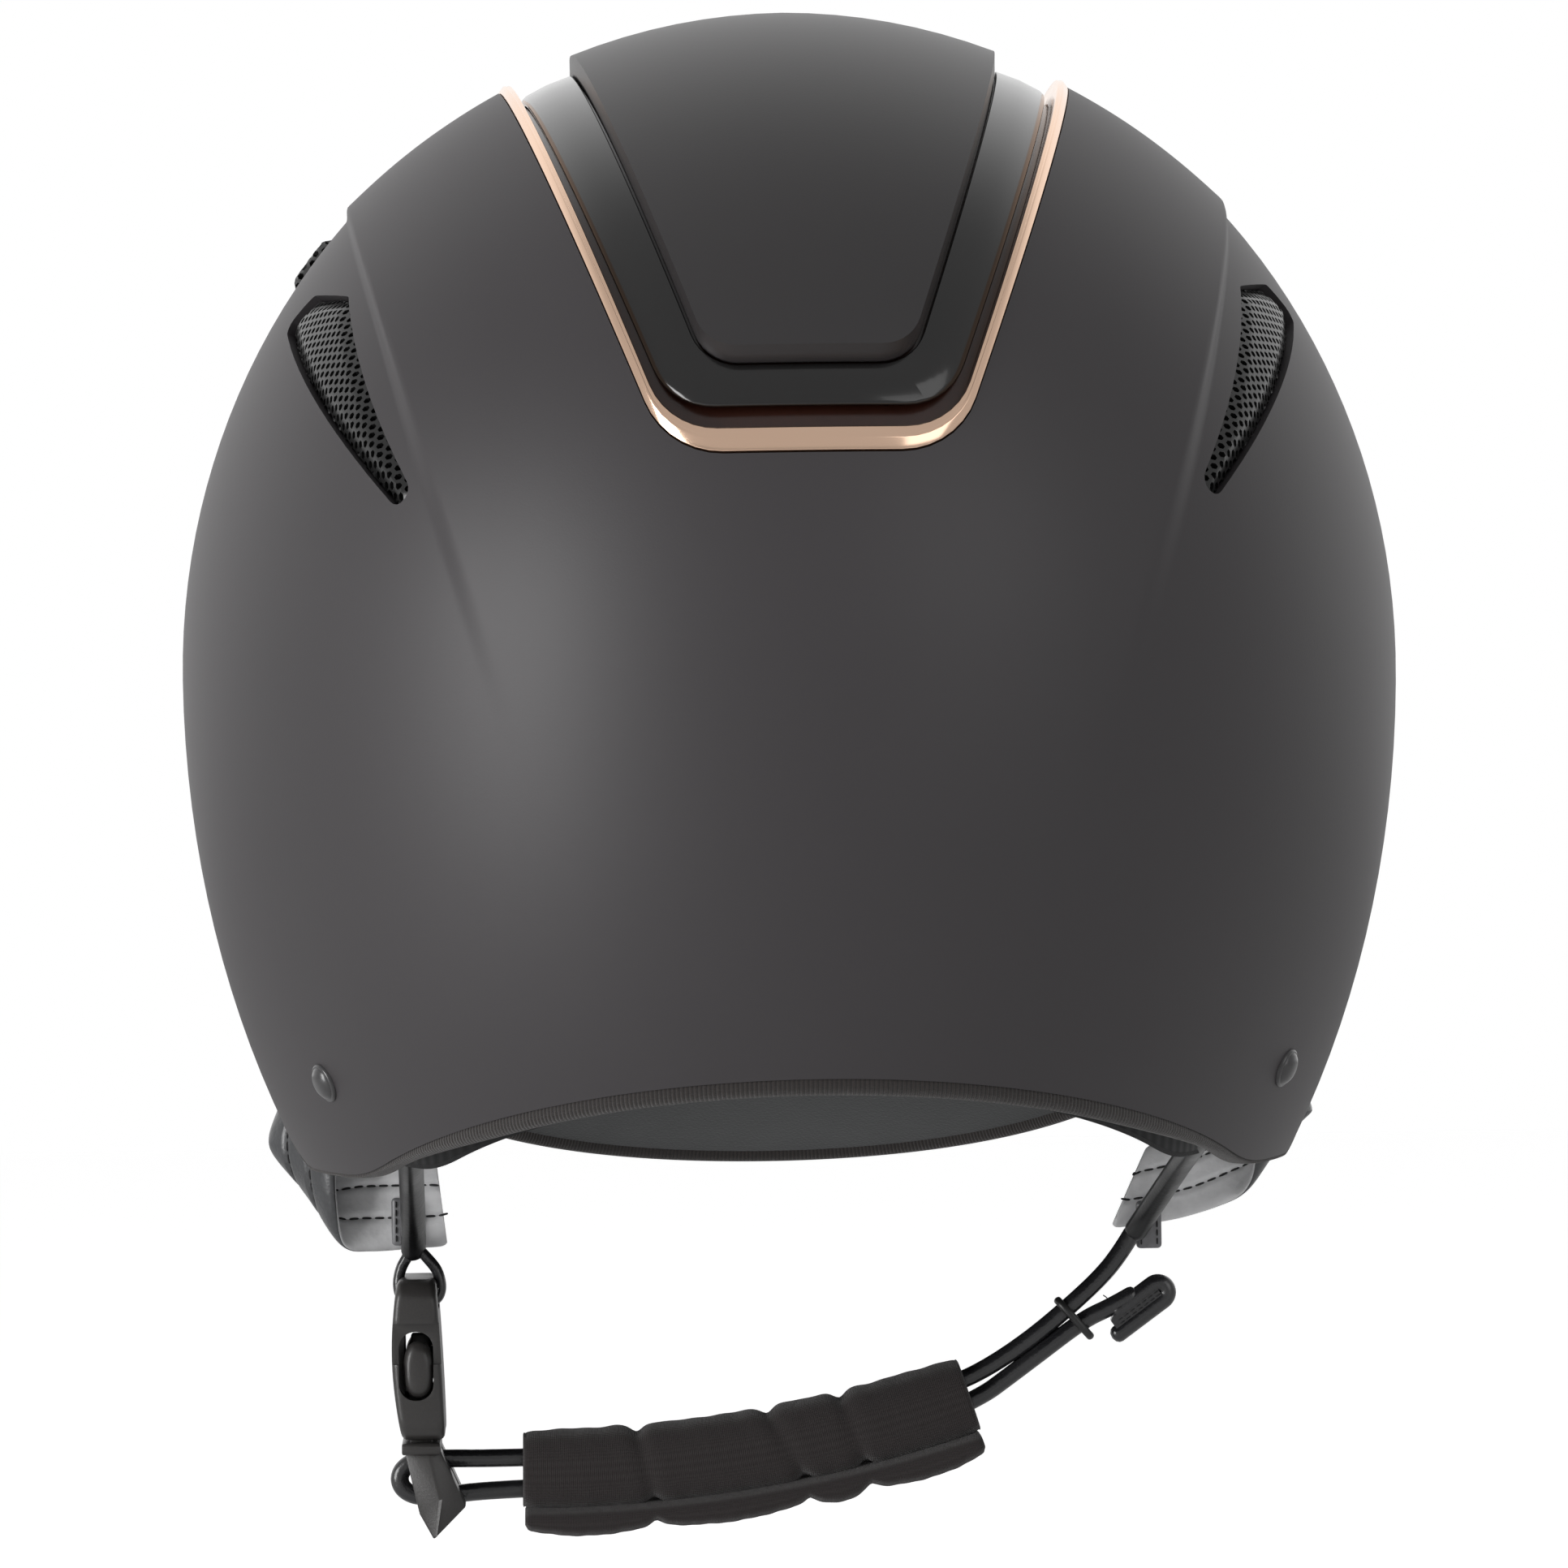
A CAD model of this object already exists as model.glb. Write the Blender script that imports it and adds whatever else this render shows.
"""Riding helmet seen from behind: smooth shells, fabric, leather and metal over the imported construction."""
import math

import bpy
from mathutils import Matrix, Vector


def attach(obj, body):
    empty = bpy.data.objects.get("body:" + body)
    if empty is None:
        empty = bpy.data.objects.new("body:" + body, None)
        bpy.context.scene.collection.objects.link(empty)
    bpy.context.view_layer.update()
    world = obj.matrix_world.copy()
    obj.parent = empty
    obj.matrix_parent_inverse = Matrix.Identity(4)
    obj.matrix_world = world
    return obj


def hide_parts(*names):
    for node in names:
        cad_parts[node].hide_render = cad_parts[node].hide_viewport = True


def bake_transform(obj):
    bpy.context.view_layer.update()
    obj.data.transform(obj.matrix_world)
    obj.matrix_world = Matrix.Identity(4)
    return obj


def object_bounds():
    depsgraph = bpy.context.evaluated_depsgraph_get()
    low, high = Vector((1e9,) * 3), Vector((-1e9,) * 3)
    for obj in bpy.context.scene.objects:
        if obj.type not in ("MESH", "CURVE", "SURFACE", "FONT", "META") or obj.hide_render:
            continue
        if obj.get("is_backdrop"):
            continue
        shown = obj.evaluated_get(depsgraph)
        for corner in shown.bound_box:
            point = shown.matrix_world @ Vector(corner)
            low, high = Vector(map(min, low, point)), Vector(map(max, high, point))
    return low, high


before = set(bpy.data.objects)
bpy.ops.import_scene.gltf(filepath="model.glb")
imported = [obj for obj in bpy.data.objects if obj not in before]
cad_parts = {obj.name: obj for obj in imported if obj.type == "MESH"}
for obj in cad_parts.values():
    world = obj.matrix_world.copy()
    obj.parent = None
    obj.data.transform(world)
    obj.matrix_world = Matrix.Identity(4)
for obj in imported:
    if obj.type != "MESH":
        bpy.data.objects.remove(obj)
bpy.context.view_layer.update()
bpy.ops.object.select_all(action="DESELECT")

# ---------------------------------------------------------------- camera
# Behind the helmet and level with its middle, a little to the wearer's left,
# and tipped by just under a degree.
camera_turn = math.radians(2.0)
camera_tip = 0.0142
camera_distance = 1.3
camera_aim = Vector((-0.0011, 0.0, 0.0718))
picture_width = 0.2925
ahead = Vector((math.sin(camera_turn), math.cos(camera_turn), 0))
level = Vector((math.cos(camera_turn), -math.sin(camera_turn), 0))
upright = Vector((0, 0, 1))
picture_right = (level - camera_tip * upright).normalized()
picture_up = (upright + camera_tip * level).normalized()
bpy.ops.object.camera_add()
camera = bpy.context.object
camera.data.sensor_width = 36
camera.data.lens = camera.data.sensor_width * camera_distance / picture_width
camera.data.clip_start = 0.01
turn = Matrix((picture_right, picture_up, -ahead)).transposed()
camera.matrix_world = Matrix.Translation(camera_aim - camera_distance * ahead) @ turn.to_4x4()
bpy.context.scene.camera = camera

# ---------------------------------------------------------------- studio
# A white room, white to the camera and darker in reflections on the camera's
# side. A tall key box stands level at the left, a weaker one high at the right,
# and a low one lights the strap; the top and rim boxes aren't seen in reflections.
scene = bpy.context.scene
scene.view_settings.view_transform = "Standard"
world = bpy.data.worlds.new("studio")
scene.world = world
world.use_nodes = True
sky = world.node_tree.nodes
sky_links = world.node_tree.links
room = sky["Background"]
room.inputs["Color"].default_value = (1, 1, 1, 1)
paths = sky.new("ShaderNodeLightPath")
skyward = sky.new("ShaderNodeSeparateXYZ")
sky_links.new(sky.new("ShaderNodeTexCoord").outputs["Generated"], skyward.inputs[0])
behind = sky.new("ShaderNodeMapRange")
behind.interpolation_type = "SMOOTHSTEP"
for label, value in (("From Min", 0.10), ("From Max", 0.80), ("To Min", 0.50), ("To Max", 1.05)):
    behind.inputs[label].default_value = value
sky_links.new(skyward.outputs["Y"], behind.inputs["Value"])
glossy = sky.new("ShaderNodeMix")
glossy.inputs["A"].default_value = 0.40
sky_links.new(paths.outputs["Is Glossy Ray"], glossy.inputs["Factor"])
sky_links.new(behind.outputs["Result"], glossy.inputs["B"])
plain_white = sky.new("ShaderNodeMix")
plain_white.inputs["B"].default_value = 1.0
sky_links.new(paths.outputs["Is Camera Ray"], plain_white.inputs["Factor"])
sky_links.new(glossy.outputs["Result"], plain_white.inputs["A"])
sky_links.new(plain_white.outputs["Result"], room.inputs["Strength"])

helmet_middle = (0, 0, 0.09)
strap_middle = (-0.06, 0.0, -0.01)
# Name, place, aim, width, height, power and whether reflections show it.
soft_boxes = (
    ("key_box", (-1.35, -0.80, 0.10), helmet_middle, 0.6, 1.3, 22, True),
    ("fill_box", (0.9, -1.15, 0.6), helmet_middle, 0.8, 1.2, 3.6, True),
    ("top_box", (0.0, 0.35, 1.4), helmet_middle, 0.9, 0.5, 1.2, False),
    ("left_rim_box", (-1.1, 0.9, 0.4), helmet_middle, 0.35, 1.2, 1.0, False),
    ("right_rim_box", (1.1, 0.9, 0.4), helmet_middle, 0.35, 1.2, 1.2, False),
    ("low_box", (0.85, -1.05, -0.45), strap_middle, 0.6, 0.5, 5, True),
)
for name, place, aim, width, height, power, mirrored in soft_boxes:
    bpy.ops.object.light_add(type="AREA", location=place)
    lamp = bpy.context.object
    lamp.name = name
    lamp.data.shape = "RECTANGLE"
    lamp.data.size = width
    lamp.data.size_y = height
    lamp.data.energy = power
    lamp.rotation_euler = (Vector(aim) - Vector(place)).to_track_quat("-Z", "Y").to_euler()
    if not mirrored:
        lamp.visible_glossy = False

floor_drop = 0.2
bpy.ops.mesh.primitive_plane_add(size=8, location=(0, 0, -floor_drop))
floor = bpy.context.object
floor.name = "studio_floor"
floor_paint = bpy.data.materials.new("studio_floor")
floor_paint.use_nodes = True
floor_shader = floor_paint.node_tree.nodes["Principled BSDF"]
floor_shader.inputs["Base Color"].default_value = (0.86, 0.86, 0.86, 1)
floor_shader.inputs["Roughness"].default_value = 0.9
floor_shader.inputs["Emission Color"].default_value = (1, 1, 1, 1)
floor_path = floor_paint.node_tree.nodes.new("ShaderNodeLightPath")
floor_white = floor_paint.node_tree.nodes.new("ShaderNodeMath")
floor_white.operation = "MULTIPLY"
floor_white.inputs[1].default_value = 0.62
floor_paint.node_tree.links.new(floor_path.outputs["Is Camera Ray"], floor_white.inputs[0])
floor_paint.node_tree.links.new(floor_white.outputs[0], floor_shader.inputs["Emission Strength"])
floor.data.materials.append(floor_paint)
floor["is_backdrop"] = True


# ---------------------------------------------------------------- outer shell
# One injection-moulded shell with a soft-touch matt coat. A raised saddle runs
# from front to back between two creases, and four vents are cut through it.
equator = 0.093
shell_half = (0.1125, 0.137)
shell_rise = 0.121
shell_drop = 0.155
shell_wall = 0.0026
saddle_half = (0.119, 0.135)
crease_points = ((0.052, 0.085), (0.069, 0.136), (0.0815, 0.1806))
saddle_relief, relief_low, relief_rise = 0.0016, 0.140, 0.045
crease_soft, crease_soften, soften_high, soften_fall = 0.0011, 0.0016, 0.175, 0.09
proud_soft = 0.0003
centre = Vector((0, 0, equator))
crown_top = equator + shell_rise


def eased(share):
    """Soft step from 0 to 1, level outside that stretch."""
    share = max(0.0, min(1.0, share))
    return share * share * (3 - 2 * share)


def egg_reach(way, half):
    """Distance from the egg's centre to its surface, one way."""
    height = shell_rise if way.z > 0 else shell_drop
    return 1 / math.sqrt((way.x / half[0]) ** 2 + (way.y / half[1]) ** 2 + (way.z / height) ** 2)


def crease_x(z):
    """How far out the crease lies at a height: a parabola through its three points."""
    (x0, z0), (x1, z1), (x2, z2) = crease_points
    first = x0 * (z - z1) * (z - z2) / ((z0 - z1) * (z0 - z2))
    second = x1 * (z - z0) * (z - z2) / ((z1 - z0) * (z1 - z2))
    third = x2 * (z - z0) * (z - z1) / ((z2 - z0) * (z2 - z1))
    return first + second + third if z < z2 else x2 + (z - z2) * 0.02


def shell_reach(way):
    """Distance from the centre to the shell's outer face: the egg, and the saddle where it is prouder."""
    plain = egg_reach(way, shell_half)
    saddle = egg_reach(way, saddle_half)
    z = equator + way.z * saddle
    saddle -= saddle_relief * eased((z - relief_low) / relief_rise) * min(1.0, abs(way.x) * 1.5)
    soft = crease_soft + crease_soften * max(0.0, min(1.0, (soften_high - z) / soften_fall))
    inside = (crease_x(z) - abs(way.x) * saddle) / soft
    proud = saddle - plain
    proud = 0.5 * (proud + math.sqrt(proud * proud + proud_soft**2))
    return plain + eased(0.5 + 0.5 * inside) * proud


def shell_normal(point):
    """Outward direction of the shell's outer face at a point on it."""
    way = (point - centre).normalized()
    side = way.orthogonal().normalized()
    other = way.cross(side)
    step = 0.0008
    here = [(way + side * a * step + other * b * step).normalized() for a, b in ((1, 0), (-1, 0), (0, 1), (0, -1))]
    spots = [spot * shell_reach(spot) for spot in here]
    return (spots[0] - spots[1]).cross(spots[2] - spots[3]).normalized()


def on_shell(point, way, lift=0.0):
    """Where a line through a point meets the shell's outer face, lifted off it."""
    spot = point.copy()
    for _ in range(12):
        out = (spot - centre).normalized()
        gap = (spot - centre).length - shell_reach(out) - lift
        spot -= way * gap / way.dot(out)
    return spot


def rim_height(y):
    """Height of the shell's lower edge at a place along it: straight runs joined by round corners."""
    brow, temple = ((0.474, 0.020), (0.074, 0.020)), (0.002, 0.0125)
    lobe, nape = ((-0.022, 0.003), (-0.058, 0.003)), ((-0.140, 0.0272), (-0.54, 0.1605))
    corners = (*brow, temple, *lobe, *nape)
    rounds = (0.120, 0.022, 0.022, 0.060, 0.060)
    for before, corner, after, radius in zip(corners, corners[1:], corners[2:], rounds):
        here = Vector(corner)
        start = (Vector(before) - here).normalized()
        end = (Vector(after) - here).normalized()
        half_angle = start.angle(end) / 2
        if half_angle > math.radians(89.9):
            continue
        tangent = radius / math.tan(half_angle)
        if here.x + end.x * tangent < y < here.x + start.x * tangent:
            middle = here + (start + end).normalized() * radius / math.sin(half_angle)
            side = math.sqrt(max(0.0, radius**2 - (y - middle.x) ** 2))
            return middle.y - side if middle.y > here.y else middle.y + side
    for (y1, z1), (y2, z2) in zip(corners, corners[1:]):
        if y2 <= y <= y1:
            return z1 + (z2 - z1) * (y - y1) / (y2 - y1)
    return corners[0][1]


# Outlines of the crown pieces seen from behind: half width at the lower end and
# at the crown, height of the end, and radius of its corners.
panel_outline = (0.0174, 0.0427, 0.1431, 0.008)
frame_outline = (0.0238, 0.0541, 0.1356, 0.011)
groove_outline = (0.0242, 0.0552, 0.1319, 0.012)
trim_outline = (0.0246, 0.0580, 0.1274, 0.014)
least_corner = 0.001
end_steps = 8
corner_steps = 7
side_steps = 42


def crown_loop(outline, lift=0.0, grow=0.0):
    """Closed loop over the crown along an outline, grown sideways and lifted off the shell's face."""
    half_end, half_top, end_z, corner = outline
    lean = (half_top - half_end) / (crown_top - end_z)
    slant = math.hypot(1, lean)
    half_low = half_end + grow * (slant + lean)
    low = end_z - grow
    corner = max(corner + grow, least_corner)
    turn_angle = math.pi / 2 - math.atan(lean)
    tangent = corner * math.tan(turn_angle / 2)
    flat = [((half_low - tangent) * i / end_steps, low) for i in range(end_steps)]
    middle = (half_low - tangent, low + corner)
    for i in range(corner_steps + 1):
        angle = turn_angle * i / corner_steps
        flat.append((middle[0] + corner * math.sin(angle), middle[1] - corner * math.cos(angle)))
    quarter = []
    for x, z in flat:
        inside = 1 - (x / shell_half[0]) ** 2 - ((z - equator) / shell_rise) ** 2
        spot = Vector((x, -shell_half[1] * math.sqrt(max(inside, 0.01)), z))
        quarter.append(on_shell(spot, Vector((0, -1, 0)), lift))
    last = quarter[-1]
    first_angle = math.atan2(last.z - equator, -last.y)
    for i in range(1, side_steps + 1):
        angle = first_angle + (math.pi / 2 - first_angle) * i / side_steps
        reach = shell_rise
        for _ in range(12):
            z = equator + reach * math.sin(angle)
            spot = Vector((half_low + lean * (z - low), -reach * math.cos(angle), z))
            reach += shell_reach((spot - centre).normalized()) + lift - (spot - centre).length
        quarter.append(spot)
    right = quarter + [Vector((p.x, -p.y, p.z)) for p in reversed(quarter[:-1])]
    left = [Vector((-p.x, p.y, p.z)) for p in reversed(right[1:-1])]
    return right + left


def grid_piece(name, rows):
    """Sheet of quads whose vertices lie on rows of points."""
    bpy.ops.mesh.primitive_grid_add(x_subdivisions=len(rows[0]) - 1, y_subdivisions=len(rows) - 1)
    sheet = bpy.context.object
    sheet.name = name
    for i, row in enumerate(rows):
        for j, spot in enumerate(row):
            sheet.data.vertices[i * len(row) + j].co = spot
    return sheet


def closed_ring(name, loops):
    """Closed ring whose section has one corner on each loop."""
    rows = [[loop[i % len(loop)] for loop in loops + loops[:1]] for i in range(len(loops[0]) + 1)]
    ring = grid_piece(name, rows)
    tidy(ring)
    return ring


def tidy(piece):
    """Merge doubles and turn all faces outwards."""
    bpy.context.view_layer.objects.active = piece
    bpy.ops.object.mode_set(mode="EDIT")
    bpy.ops.mesh.select_all(action="SELECT")
    bpy.ops.mesh.remove_doubles(threshold=0.00001)
    bpy.ops.mesh.normals_make_consistent(inside=False)
    bpy.ops.mesh.select_all(action="DESELECT")
    bpy.ops.object.mode_set(mode="OBJECT")


def finished(piece, smooth_angle):
    """Apply place, modifiers and smooth shading, and deselect the piece."""
    bpy.ops.object.select_all(action="DESELECT")
    piece.select_set(True)
    bpy.context.view_layer.objects.active = piece
    bpy.ops.object.transform_apply(location=True, rotation=True, scale=True)
    for modifier in list(piece.modifiers):
        bpy.ops.object.modifier_apply(modifier=modifier.name)
    bpy.ops.object.shade_smooth_by_angle(angle=math.radians(smooth_angle))
    bpy.ops.object.select_all(action="DESELECT")
    return piece


def cut(piece, tool):
    """Take a cutter out of a piece."""
    bpy.context.view_layer.objects.active = piece
    change = piece.modifiers.new("cut", "BOOLEAN")
    change.operation = "DIFFERENCE"
    change.solver = "EXACT"
    change.object = tool
    bpy.ops.object.modifier_apply(modifier=change.name)
    bpy.data.objects.remove(tool, do_unlink=True)


top_loop = crown_loop(trim_outline)
near_crease = (0.0004, 0.0009, 0.0014, 0.002, 0.0028, 0.0038, 0.0052, 0.0072, 0.0100)
rows_above = 14
rows_below = 34


def meridian(start):
    """Points down the shell from the crown opening over the crease to the lower edge."""
    spread = math.hypot(start.x / shell_half[0], start.y / shell_half[1])
    ways = (start.x / shell_half[0] / spread, start.y / shell_half[1] / spread)

    def at(angle):
        height = shell_rise if angle > 0 else shell_drop
        side = math.cos(angle)
        plain = Vector((shell_half[0] * ways[0] * side, shell_half[1] * ways[1] * side, height * math.sin(angle)))
        way = plain.normalized()
        return centre + way * shell_reach(way)

    def crossing(test, high, low):
        for _ in range(26):
            middle = (high + low) / 2
            if test(at(middle)):
                high = middle
            else:
                low = middle
        return high

    start_way = (start - centre).normalized()
    plain_start = start_way * egg_reach(start_way, shell_half)
    top = math.asin(min(1, plain_start.z / shell_rise))
    bottom = crossing(lambda p: p.z > rim_height(p.y), top, -1.2)
    crease = crossing(lambda p: abs(p.x) < crease_x(p.z) and p.z > 0.070, top, bottom)
    pace = (at(crease + 0.001) - at(crease - 0.001)).length / 0.002
    above = [crease + step / pace for step in near_crease]
    below = [crease - step / pace for step in near_crease]
    above += [above[-1] + (top - above[-1]) * i / rows_above for i in range(1, rows_above + 1)]
    below += [below[-1] + (bottom - below[-1]) * i / rows_below for i in range(1, rows_below + 1)]
    return [at(angle) for angle in above[::-1] + [crease] + below]


meridians = [meridian(spot) for spot in top_loop]
shell = grid_piece("helmet_shell", meridians + meridians[:1])
tidy(shell)
wall = shell.modifiers.new("wall", "SOLIDIFY")
wall.thickness = shell_wall
wall.offset = -1
bpy.ops.object.modifier_apply(modifier="wall")

# Vent holes: each is a rounded outline on the shell, cut square to it.
rear_vent = ((0.0064, 0.0580), (0.0076, 0.0553), (0.0144, 0.0566), (0.0387, 0.0909))
front_vent = ((0.0003, 0.0485), (0.0003, 0.0402), (0.0037, 0.0412), (0.0273, 0.0700))
vent_round = 0.0024


class Vent:
    """One vent's plane on the shell and the corner centres of its outline on that plane."""

    def __init__(self, corners, side, end):
        spots = []
        for inset, fall in corners:
            z = crown_top - fall
            x = shell_half[0] * math.sqrt(1 - ((z - equator) / shell_rise) ** 2) - inset
            y = shell_half[1] * math.sqrt(1 - (x / shell_half[0]) ** 2 - ((z - equator) / shell_rise) ** 2)
            spots.append(Vector((side * x, end * y, z)))
        self.middle = sum(spots, Vector()) / len(spots)
        squares = (shell_half[0] ** 2, shell_half[1] ** 2, shell_rise**2)
        offset = self.middle - centre
        self.out = Vector([offset[i] / squares[i] for i in range(3)]).normalized()
        self.across = Vector((0, 0, 1)).cross(self.out).normalized()
        self.along = self.out.cross(self.across)
        self.flat = [Vector(((p - self.middle).dot(self.across), (p - self.middle).dot(self.along))) for p in spots]
        area = sum(a.x * b.y - b.x * a.y for a, b in zip(self.flat, self.flat[1:] + self.flat[:1]))
        if area < 0:
            self.flat.reverse()

    def outline(self, radius, steps=8):
        """Points round the outline, with an arc about each corner centre."""
        points = []
        count = len(self.flat)
        for i, corner in enumerate(self.flat):
            before = corner - self.flat[i - 1]
            after = self.flat[(i + 1) % count] - corner
            first = math.atan2(before.y, before.x) - math.pi / 2
            turn_by = (math.atan2(after.y, after.x) - math.atan2(before.y, before.x)) % (2 * math.pi)
            for j in range(steps + 1):
                angle = first + turn_by * j / steps
                points.append(corner + radius * Vector((math.cos(angle), math.sin(angle))))
        return points

    def place(self, flat_point, lift=0.0):
        """Point on the shell's face over a point of the vent's plane."""
        spot = self.middle + self.across * flat_point.x + self.along * flat_point.y
        return on_shell(spot, self.out, lift)


vents = {
    "rear_left": Vent(rear_vent, -1, -1),
    "rear_right": Vent(rear_vent, 1, -1),
    "front_left": Vent(front_vent, -1, 1),
    "front_right": Vent(front_vent, 1, 1),
}
for name, vent in vents.items():
    around = vent.outline(vent_round)
    reach = 0.02
    low = [vent.middle + vent.across * p.x + vent.along * p.y - vent.out * reach for p in around]
    high = [spot + vent.out * 2 * reach for spot in low]
    bpy.ops.mesh.primitive_cylinder_add(vertices=len(around), end_fill_type="NGON")
    punch = bpy.context.object
    for i in range(len(around)):
        punch.data.vertices[2 * i].co = low[i]
        punch.data.vertices[2 * i + 1].co = high[i]
    tidy(punch)
    cut(shell, punch)


def follow_shell(piece):
    """Give the faces on the shell's outer face its own exact normals, so that it shades as one surface."""
    finished(piece, 30)
    mesh = piece.data
    at_vertex = {}
    normals = []
    outer_faces = []
    for face in mesh.polygons:
        out = (face.center - centre).normalized()
        proud = (face.center - centre).length - shell_reach(out)
        outer_faces.append(abs(proud) < 0.0003 and face.normal.dot(shell_normal(face.center)) > 0.9)
    for face, outer in zip(mesh.polygons, outer_faces):
        for index in face.loop_indices:
            vertex = mesh.loops[index].vertex_index
            if outer and vertex not in at_vertex:
                at_vertex[vertex] = shell_normal(mesh.vertices[vertex].co)
            normals.append(at_vertex[vertex] if outer else (0, 0, 0))
    mesh.normals_split_custom_set(normals)


follow_shell(shell)


def new_paint(name, color, roughness, **others):
    """Material with one Principled shader; the other values are named as its inputs are."""
    paint = bpy.data.materials.new(name)
    paint.use_nodes = True
    shader = paint.node_tree.nodes["Principled BSDF"]
    shader.inputs["Base Color"].default_value = (*color, 1)
    shader.inputs["Roughness"].default_value = roughness
    for label, value in others.items():
        shader.inputs[label.replace("_", " ")].default_value = value
    return paint, shader


def add_bump(paint, shader, height, strength, distance):
    """Feed a height into the shader's normal."""
    bump = paint.node_tree.nodes.new("ShaderNodeBump")
    bump.inputs["Strength"].default_value = strength
    bump.inputs["Distance"].default_value = distance
    paint.node_tree.links.new(height, bump.inputs["Height"])
    paint.node_tree.links.new(bump.outputs["Normal"], shader.inputs["Normal"])


def object_point(paint):
    """Object coordinates of a paint."""
    return paint.node_tree.nodes.new("ShaderNodeTexCoord").outputs["Object"]


def noise(paint, scale, detail=2.0):
    """Value of a noise texture on object coordinates."""
    node = paint.node_tree.nodes.new("ShaderNodeTexNoise")
    node.inputs["Scale"].default_value = scale
    node.inputs["Detail"].default_value = detail
    paint.node_tree.links.new(object_point(paint), node.inputs["Vector"])
    return node.outputs["Fac"]


def between(paint, value, low, high):
    """Two colours mixed by a value."""
    ramp = paint.node_tree.nodes.new("ShaderNodeValToRGB")
    ramp.color_ramp.elements[0].color = (*low, 1)
    ramp.color_ramp.elements[1].color = (*high, 1)
    paint.node_tree.links.new(value, ramp.inputs["Fac"])
    return ramp.outputs["Color"]


def tinted(paint, shader, value, low, high, socket="Base Color"):
    """Feed two colours, mixed by a value, into an input of the shader."""
    paint.node_tree.links.new(between(paint, value, low, high), shader.inputs[socket])


def matt_coat(name, roughness, cloud_scale, low, high):
    """Soft-touch coat: a faint cloud of tone and a fine grain."""
    paint, shader = new_paint(name, low, roughness)
    tinted(paint, shader, noise(paint, cloud_scale, 3), low, high)
    add_bump(paint, shader, noise(paint, 2600), 0.12, 0.0001)
    return paint


soft_coat = matt_coat("soft_touch_coat", 0.5, 14, (0.0305, 0.0272, 0.0295), (0.0385, 0.0345, 0.0372))


def fit(piece, paint, slot, body, *nodes):
    """Give a finished piece its paint, slot and body, and the CAD nodes that it stands for."""
    piece.data.materials.clear()
    piece.data.materials.append(paint)
    if nodes:
        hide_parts(*nodes)
    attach(piece, body)


fit(shell, soft_coat, "shell", "helmet", "outer_shell")


# ---------------------------------------------------------------- crown pan
# The floor of the crown recess is moulded with the shell and shows as a narrow
# gloss groove of dark red-brown between the metal trim and the black frame.
pan_sink = 0.0046
pan_wall = 0.0014
pan = closed_ring(
    "crown_pan",
    [
        crown_loop(trim_outline, -shell_wall * 0.9, 0.0012),
        crown_loop(trim_outline, -pan_sink, 0.0002),
        crown_loop(panel_outline, -pan_sink, -0.004),
        crown_loop(panel_outline, -pan_sink - pan_wall, -0.004),
        crown_loop(trim_outline, -pan_sink - pan_wall, 0.0012),
    ],
)
finished(pan, 40)
pan_dark, pan_light = (0.020, 0.006, 0.0035), (0.034, 0.011, 0.007)
pan_paint, shader = new_paint("pan_gloss", pan_light, 0.24, Coat_Weight=0.2, Coat_Roughness=0.12)
tinted(pan_paint, shader, noise(pan_paint, 900), pan_dark, pan_light)
fit(pan, pan_paint, "shell", "helmet")


# ---------------------------------------------------------------- crown trim
# A rose-gold plated ring, clipped into the recess: two polished facets meet at
# a soft ridge, the inner one with a fine draw line.
def part_way(first, second, share):
    """Outline between two outlines."""
    return tuple(a + (b - a) * share for a, b in zip(first, second))


def bevelled(piece, width, segments=3, angle=30):
    """Round the sharp edges of a piece."""
    edge = piece.modifiers.new("edge", "BEVEL")
    edge.width = width
    edge.segments = segments
    edge.limit_method = "ANGLE"
    edge.angle_limit = math.radians(angle)


def wandering_gloss(paint, shader, value, low, high):
    """Let the shader's roughness wander between two numbers."""
    spread = paint.node_tree.nodes.new("ShaderNodeMapRange")
    spread.inputs["To Min"].default_value = low
    spread.inputs["To Max"].default_value = high
    paint.node_tree.links.new(value, spread.inputs["Value"])
    paint.node_tree.links.new(spread.outputs["Result"], shader.inputs["Roughness"])


insert_foot = -0.0044
# Share of the way from the groove to the trim's outer edge, and height over the shell's face.
trim_section = ((1.0, insert_foot), (1.0, -0.0006), (0.9, 0.0001), (0.46, 0.0007), (0.34, 0.0006), (0.30, 0.00045))
trim_section += ((0.06, 0.0003), (0.0, -0.0001), (0.0, insert_foot))
trim_loops = [crown_loop(part_way(groove_outline, trim_outline, share), lift) for share, lift in trim_section]
trim = closed_ring("crown_trim_ring", trim_loops)
bevelled(trim, 0.00012, 2, 25)
finished(trim, 50)
trim_paint, shader = new_paint("rose_gold", (0.92, 0.64, 0.47), 0.13, Metallic=1.0)
wandering_gloss(trim_paint, shader, noise(trim_paint, 220, 3), 0.10, 0.19)
fit(trim, trim_paint, "rose_gold", "helmet", "crown_trim")


# ---------------------------------------------------------------- crown frame
# A piano-black band, sunk below the shell's face, with a rolled outer edge.
frame_sink = 0.0028
frame_section = (
    (frame_outline, insert_foot, 0.0),
    (frame_outline, -frame_sink - 0.0004, 0.0),
    (frame_outline, -frame_sink, -0.0006),
    (part_way(panel_outline, frame_outline, 0.5), -frame_sink + 0.0002, 0.0),
    (panel_outline, -frame_sink, 0.0003),
    (panel_outline, insert_foot, 0.0003),
)
band = closed_ring("crown_frame_band", [crown_loop(outline, lift, grow) for outline, lift, grow in frame_section])
bevelled(band, 0.0002, 3)
finished(band, 50)
black = (0.006, 0.0055, 0.0055)
black_gloss, shader = new_paint("piano_black", black, 0.11, Coat_Weight=0.25, Coat_Roughness=0.04)
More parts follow.
